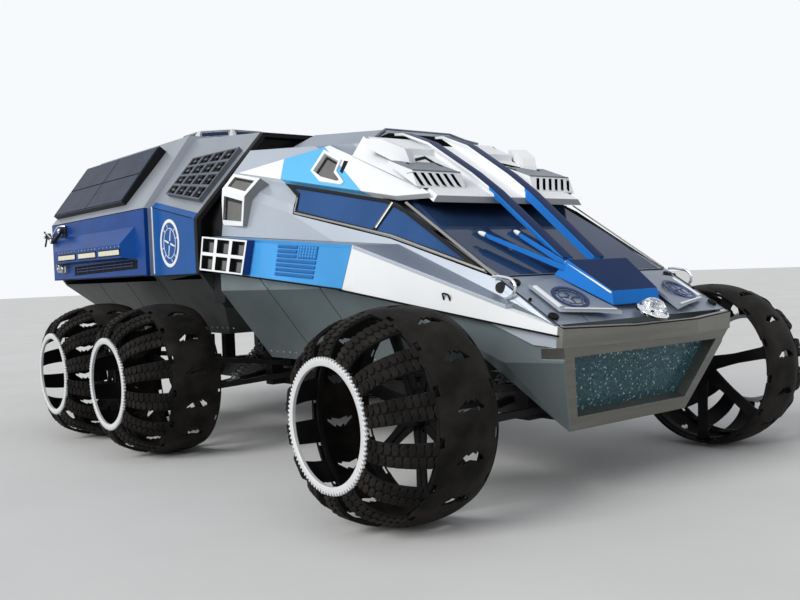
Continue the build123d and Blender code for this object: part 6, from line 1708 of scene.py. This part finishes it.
def blown_up(half, cap):
    """A pad: the rounded block remeshed evenly, swollen by cloth pressure, held to the cap, smoothed
    by one subdivision, then its channels and its border seam pressed in."""
    points, faces = rounded_block(half)
    mesh = bpy.data.meshes.new("pad")
    mesh.from_pydata(points, [], faces)
    pad = bpy.data.objects.new("pad", mesh)
    bpy.context.scene.collection.objects.link(pad)
    even = pad.modifiers.new("even", "REMESH")
    even.mode = "VOXEL"
    even.voxel_size = FOAM_STEP
    graph = bpy.context.evaluated_depsgraph_get()
    mesh = bpy.data.meshes.new_from_object(pad.evaluated_get(graph))
    pad.modifiers.clear()
    pad.data = mesh
    flat = mesh_points(mesh)
    cloth = pad.modifiers.new("cloth", "CLOTH")
    cloth.settings.quality = 5
    cloth.settings.use_pressure = True
    cloth.settings.uniform_pressure_force = 4.0
    cloth.settings.effector_weights.gravity = 0.0
    for step in range(1, BLOW_STEPS + 1):
        bpy.context.scene.frame_set(step)
    swollen = bpy.data.meshes.new_from_object(pad.evaluated_get(bpy.context.evaluated_depsgraph_get()))
    move = mesh_points(swollen) - flat
    pad.modifiers.clear()
    bpy.context.scene.frame_set(1)
    reach = np.linalg.norm(move, axis=1, keepdims=True)
    flat = flat + move * np.minimum(1.0, cap / np.maximum(reach, 1e-9))
    mesh.vertices.foreach_set("co", flat.ravel())
    smooth = pad.modifiers.new("smooth", "SUBSURF")
    smooth.levels = smooth.render_levels = 1
    made = bpy.data.meshes.new_from_object(pad.evaluated_get(bpy.context.evaluated_depsgraph_get()))
    points = mesh_points(made)
    faces = [list(face.vertices) for face in made.polygons]
    bpy.data.objects.remove(pad)
    thin = int(np.argmin(half))
    wide = [k for k in range(3) if k != thin]
    inset = np.min([half[k] - np.abs(points[:, k]) for k in wide], axis=0)
    press = SEAM_DEEP * np.exp(-(((inset - SEAM_INSET) / SEAM_WIDE) ** 2))
    for channel in CHANNELS if half[0] > 0.2 else ():
        off = (points[:, 0] - channel * half[0]) / CHANNEL_WIDE
        press += CHANNEL_DEEP * np.exp(-(off ** 2)) * (inset > SEAM_INSET + 0.005)
    points[:, thin] -= np.sign(points[:, thin]) * press * (np.abs(points[:, thin]) > 0.5 * half[thin])
    return points, faces


def leant(points):
    """Points of the back and headrest, turned back about the seat's rear edge and set there."""
    x, y, z = np.asarray(points, float).T
    turned = np.stack([x, y * np.cos(BACK_LEAN) + z * np.sin(BACK_LEAN),
                       z * np.cos(BACK_LEAN) - y * np.sin(BACK_LEAN)], -1)
    return turned + (0.0, *BACK_FOOT)


seat_cloth = woven_cloth()
for pad_name, (half, middle, leans, cap) in SEAT_PADS.items():
    pad_points, pad_faces = blown_up(half, cap)
    pad_points = pad_points + middle
    if leans:
        pad_points = leant(pad_points)
    for seat_name, (x, y) in zip(SEAT_NAMES, SEAT_PLACES):
        pad = make_piece(f"{pad_name}_{seat_name}", pad_points + (x, y, SEAT_FLOOR), pad_faces, seat_cloth,
                         "body", "seat_fabric", 80.0)
        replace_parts(pad, "seats")

seat_steel = skin("seat_steel", (0.030, 0.031, 0.033), 0.42, 0.5, vary=0.15, grain=220.0, bump=0.08,
                  bare=(0.3, 0.3, 0.3))
tray = [(0.205, -0.235), (0.235, -0.205), (0.235, 0.215), (0.205, 0.240)]
tray += [(-x, y) for x, y in tray[::-1]]
foot_plate = [(a * 0.125, b * 0.145, 0.0) for a, b in ROUND_FOUR]
pedestal = [(0.0, 0.120), (0.020, 0.118), (0.035, 0.075), (0.060, 0.062), (0.230, 0.058), (0.255, 0.080),
            (0.285, 0.116), (0.296, 0.120)]
seat_frame = [raised_plate([(x, y, 0.306) for x, y in tray], UP, 0.030, 0.006, 0.004),
              raised_plate(foot_plate, UP, 0.016, 0.004, 0.0),
              turned_about((0.0, 0.0, 0.012), UP, pedestal, 28)]
back_half = [(0.215, 0.030), (0.222, 0.330), (0.190, 0.610)]
back_line = back_half + [(-x, z) for x, z in back_half[::-1]]
back_shell = raised_plate([(x, 0.050, z) for x, z in back_line], ALONG, 0.009, 0.004, 0.012)
stalks = [rod_along([(hand * 0.060, 0.010, z) for z in (0.560, 0.640, 0.735)], 0.008, 10)
          for hand in (-1.0, 1.0)]
seat_frame += [(leant(points), faces) for points, faces in [back_shell] + stalks]
seat_frame = joined(seat_frame)
seat_frames = joined([(seat_frame[0] + (x, y, SEAT_FLOOR), seat_frame[1]) for x, y in SEAT_PLACES])
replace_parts(make_piece("seat_frames", *seat_frames, seat_steel, "body", "seat_fabric", 35.0), "seats")


# Floor, backdrop, lamps and camera. A wide matt floor under an even pale backdrop, lit by one broad
# lamp from the left and a weak one from the front; the camera stands where the photographer stood.
FLOOR_HALF = 120.0
SHOWN_COLOUR, SHOWN_STRENGTH = (0.93, 0.95, 0.98), 1.0
LIT_COLOUR, LIT_STRENGTH = (0.93, 0.96, 1.0), 0.50


def plain_floor():
    """A wide pale floor whose tone drifts a little."""
    mesh = bpy.data.meshes.new("studio_floor")
    mesh.from_pydata([(a * FLOOR_HALF, b * FLOOR_HALF, 0.0) for a, b in ROUND_FOUR], [], [(0, 1, 2, 3)])
    floor = bpy.data.objects.new("studio_floor", mesh)
    bpy.context.scene.collection.objects.link(floor)
    material, tree, shader = new_finish("studio_floor", 0.85, 0.0)
    drift = spread_to(tree, noise(tree, 0.6, 6.0), 0.0, 1.0)
    tone = blend_to(tree, drift, (0.66, 0.66, 0.655), (0.70, 0.70, 0.695))
    tree.links.new(tone, shader.inputs["Base Color"])
    mesh.materials.append(material)


plain_floor()

world = bpy.data.worlds.new("studio_world")
bpy.context.scene.world = world
world.use_nodes = True
sky = world.node_tree
for node in list(sky.nodes):
    sky.nodes.remove(node)
out = sky.nodes.new("ShaderNodeOutputWorld")
pick = sky.nodes.new("ShaderNodeMixShader")
path = sky.nodes.new("ShaderNodeLightPath")
seen = figure(sky, "MAXIMUM", path.outputs["Is Camera Ray"], path.outputs["Is Glossy Ray"])
seen = figure(sky, "MAXIMUM", seen, path.outputs["Is Transmission Ray"])
backgrounds = []
for colour, strength in ((LIT_COLOUR, LIT_STRENGTH), (SHOWN_COLOUR, SHOWN_STRENGTH)):
    background = sky.nodes.new("ShaderNodeBackground")
    background.inputs["Color"].default_value = (*colour, 1.0)
    background.inputs["Strength"].default_value = strength
    backgrounds.append(background.outputs["Background"])
link_up(sky, [(seen, pick.inputs["Fac"]), (backgrounds[0], pick.inputs[1]),
              (backgrounds[1], pick.inputs[2]), (pick.outputs["Shader"], out.inputs["Surface"])])


def soft_sun(name, towards, strength, width, colour=(1.0, 1.0, 1.0)):
    """A broad lamp far away, shining in one direction."""
    data = bpy.data.lights.new(name, "SUN")
    data.energy = strength
    data.angle = np.radians(width)
    data.color = colour
    lamp = bpy.data.objects.new(name, data)
    lamp.rotation_mode = "QUATERNION"
    lamp.rotation_quaternion = Vector(towards).to_track_quat("-Z", "Y")
    bpy.context.scene.collection.objects.link(lamp)


soft_sun("key_lamp", (0.86, 0.06, -0.50), 2.35, 32.0, (1.0, 0.985, 0.96))
soft_sun("front_fill", (0.15, 0.85, -0.50), 0.20, 60.0)

CAMERA_AT = (-5.00623, -7.22414, 1.50417)
LENS = 41.15
YAW, PITCH, ROLL = np.radians((38.46658, 1.75188, -2.25046))
ahead = np.array([np.sin(YAW) * np.cos(PITCH), np.cos(YAW) * np.cos(PITCH), -np.sin(PITCH)])
level = np.array([np.cos(YAW), -np.sin(YAW), 0.0])
upward = np.cross(level, ahead)
right = np.cos(ROLL) * level + np.sin(ROLL) * upward
top = -np.sin(ROLL) * level + np.cos(ROLL) * upward
camera_data = bpy.data.cameras.new("camera")
camera_data.lens = LENS
camera_data.sensor_width = 36.0
camera = bpy.data.objects.new("camera", camera_data)
camera.matrix_world = Matrix([[right[0], top[0], -ahead[0], CAMERA_AT[0]],
                              [right[1], top[1], -ahead[1], CAMERA_AT[1]],
                              [right[2], top[2], -ahead[2], CAMERA_AT[2]], [0.0, 0.0, 0.0, 1.0]])
bpy.context.scene.collection.objects.link(camera)
bpy.context.scene.camera = camera
bpy.context.scene.view_settings.view_transform = "Standard"
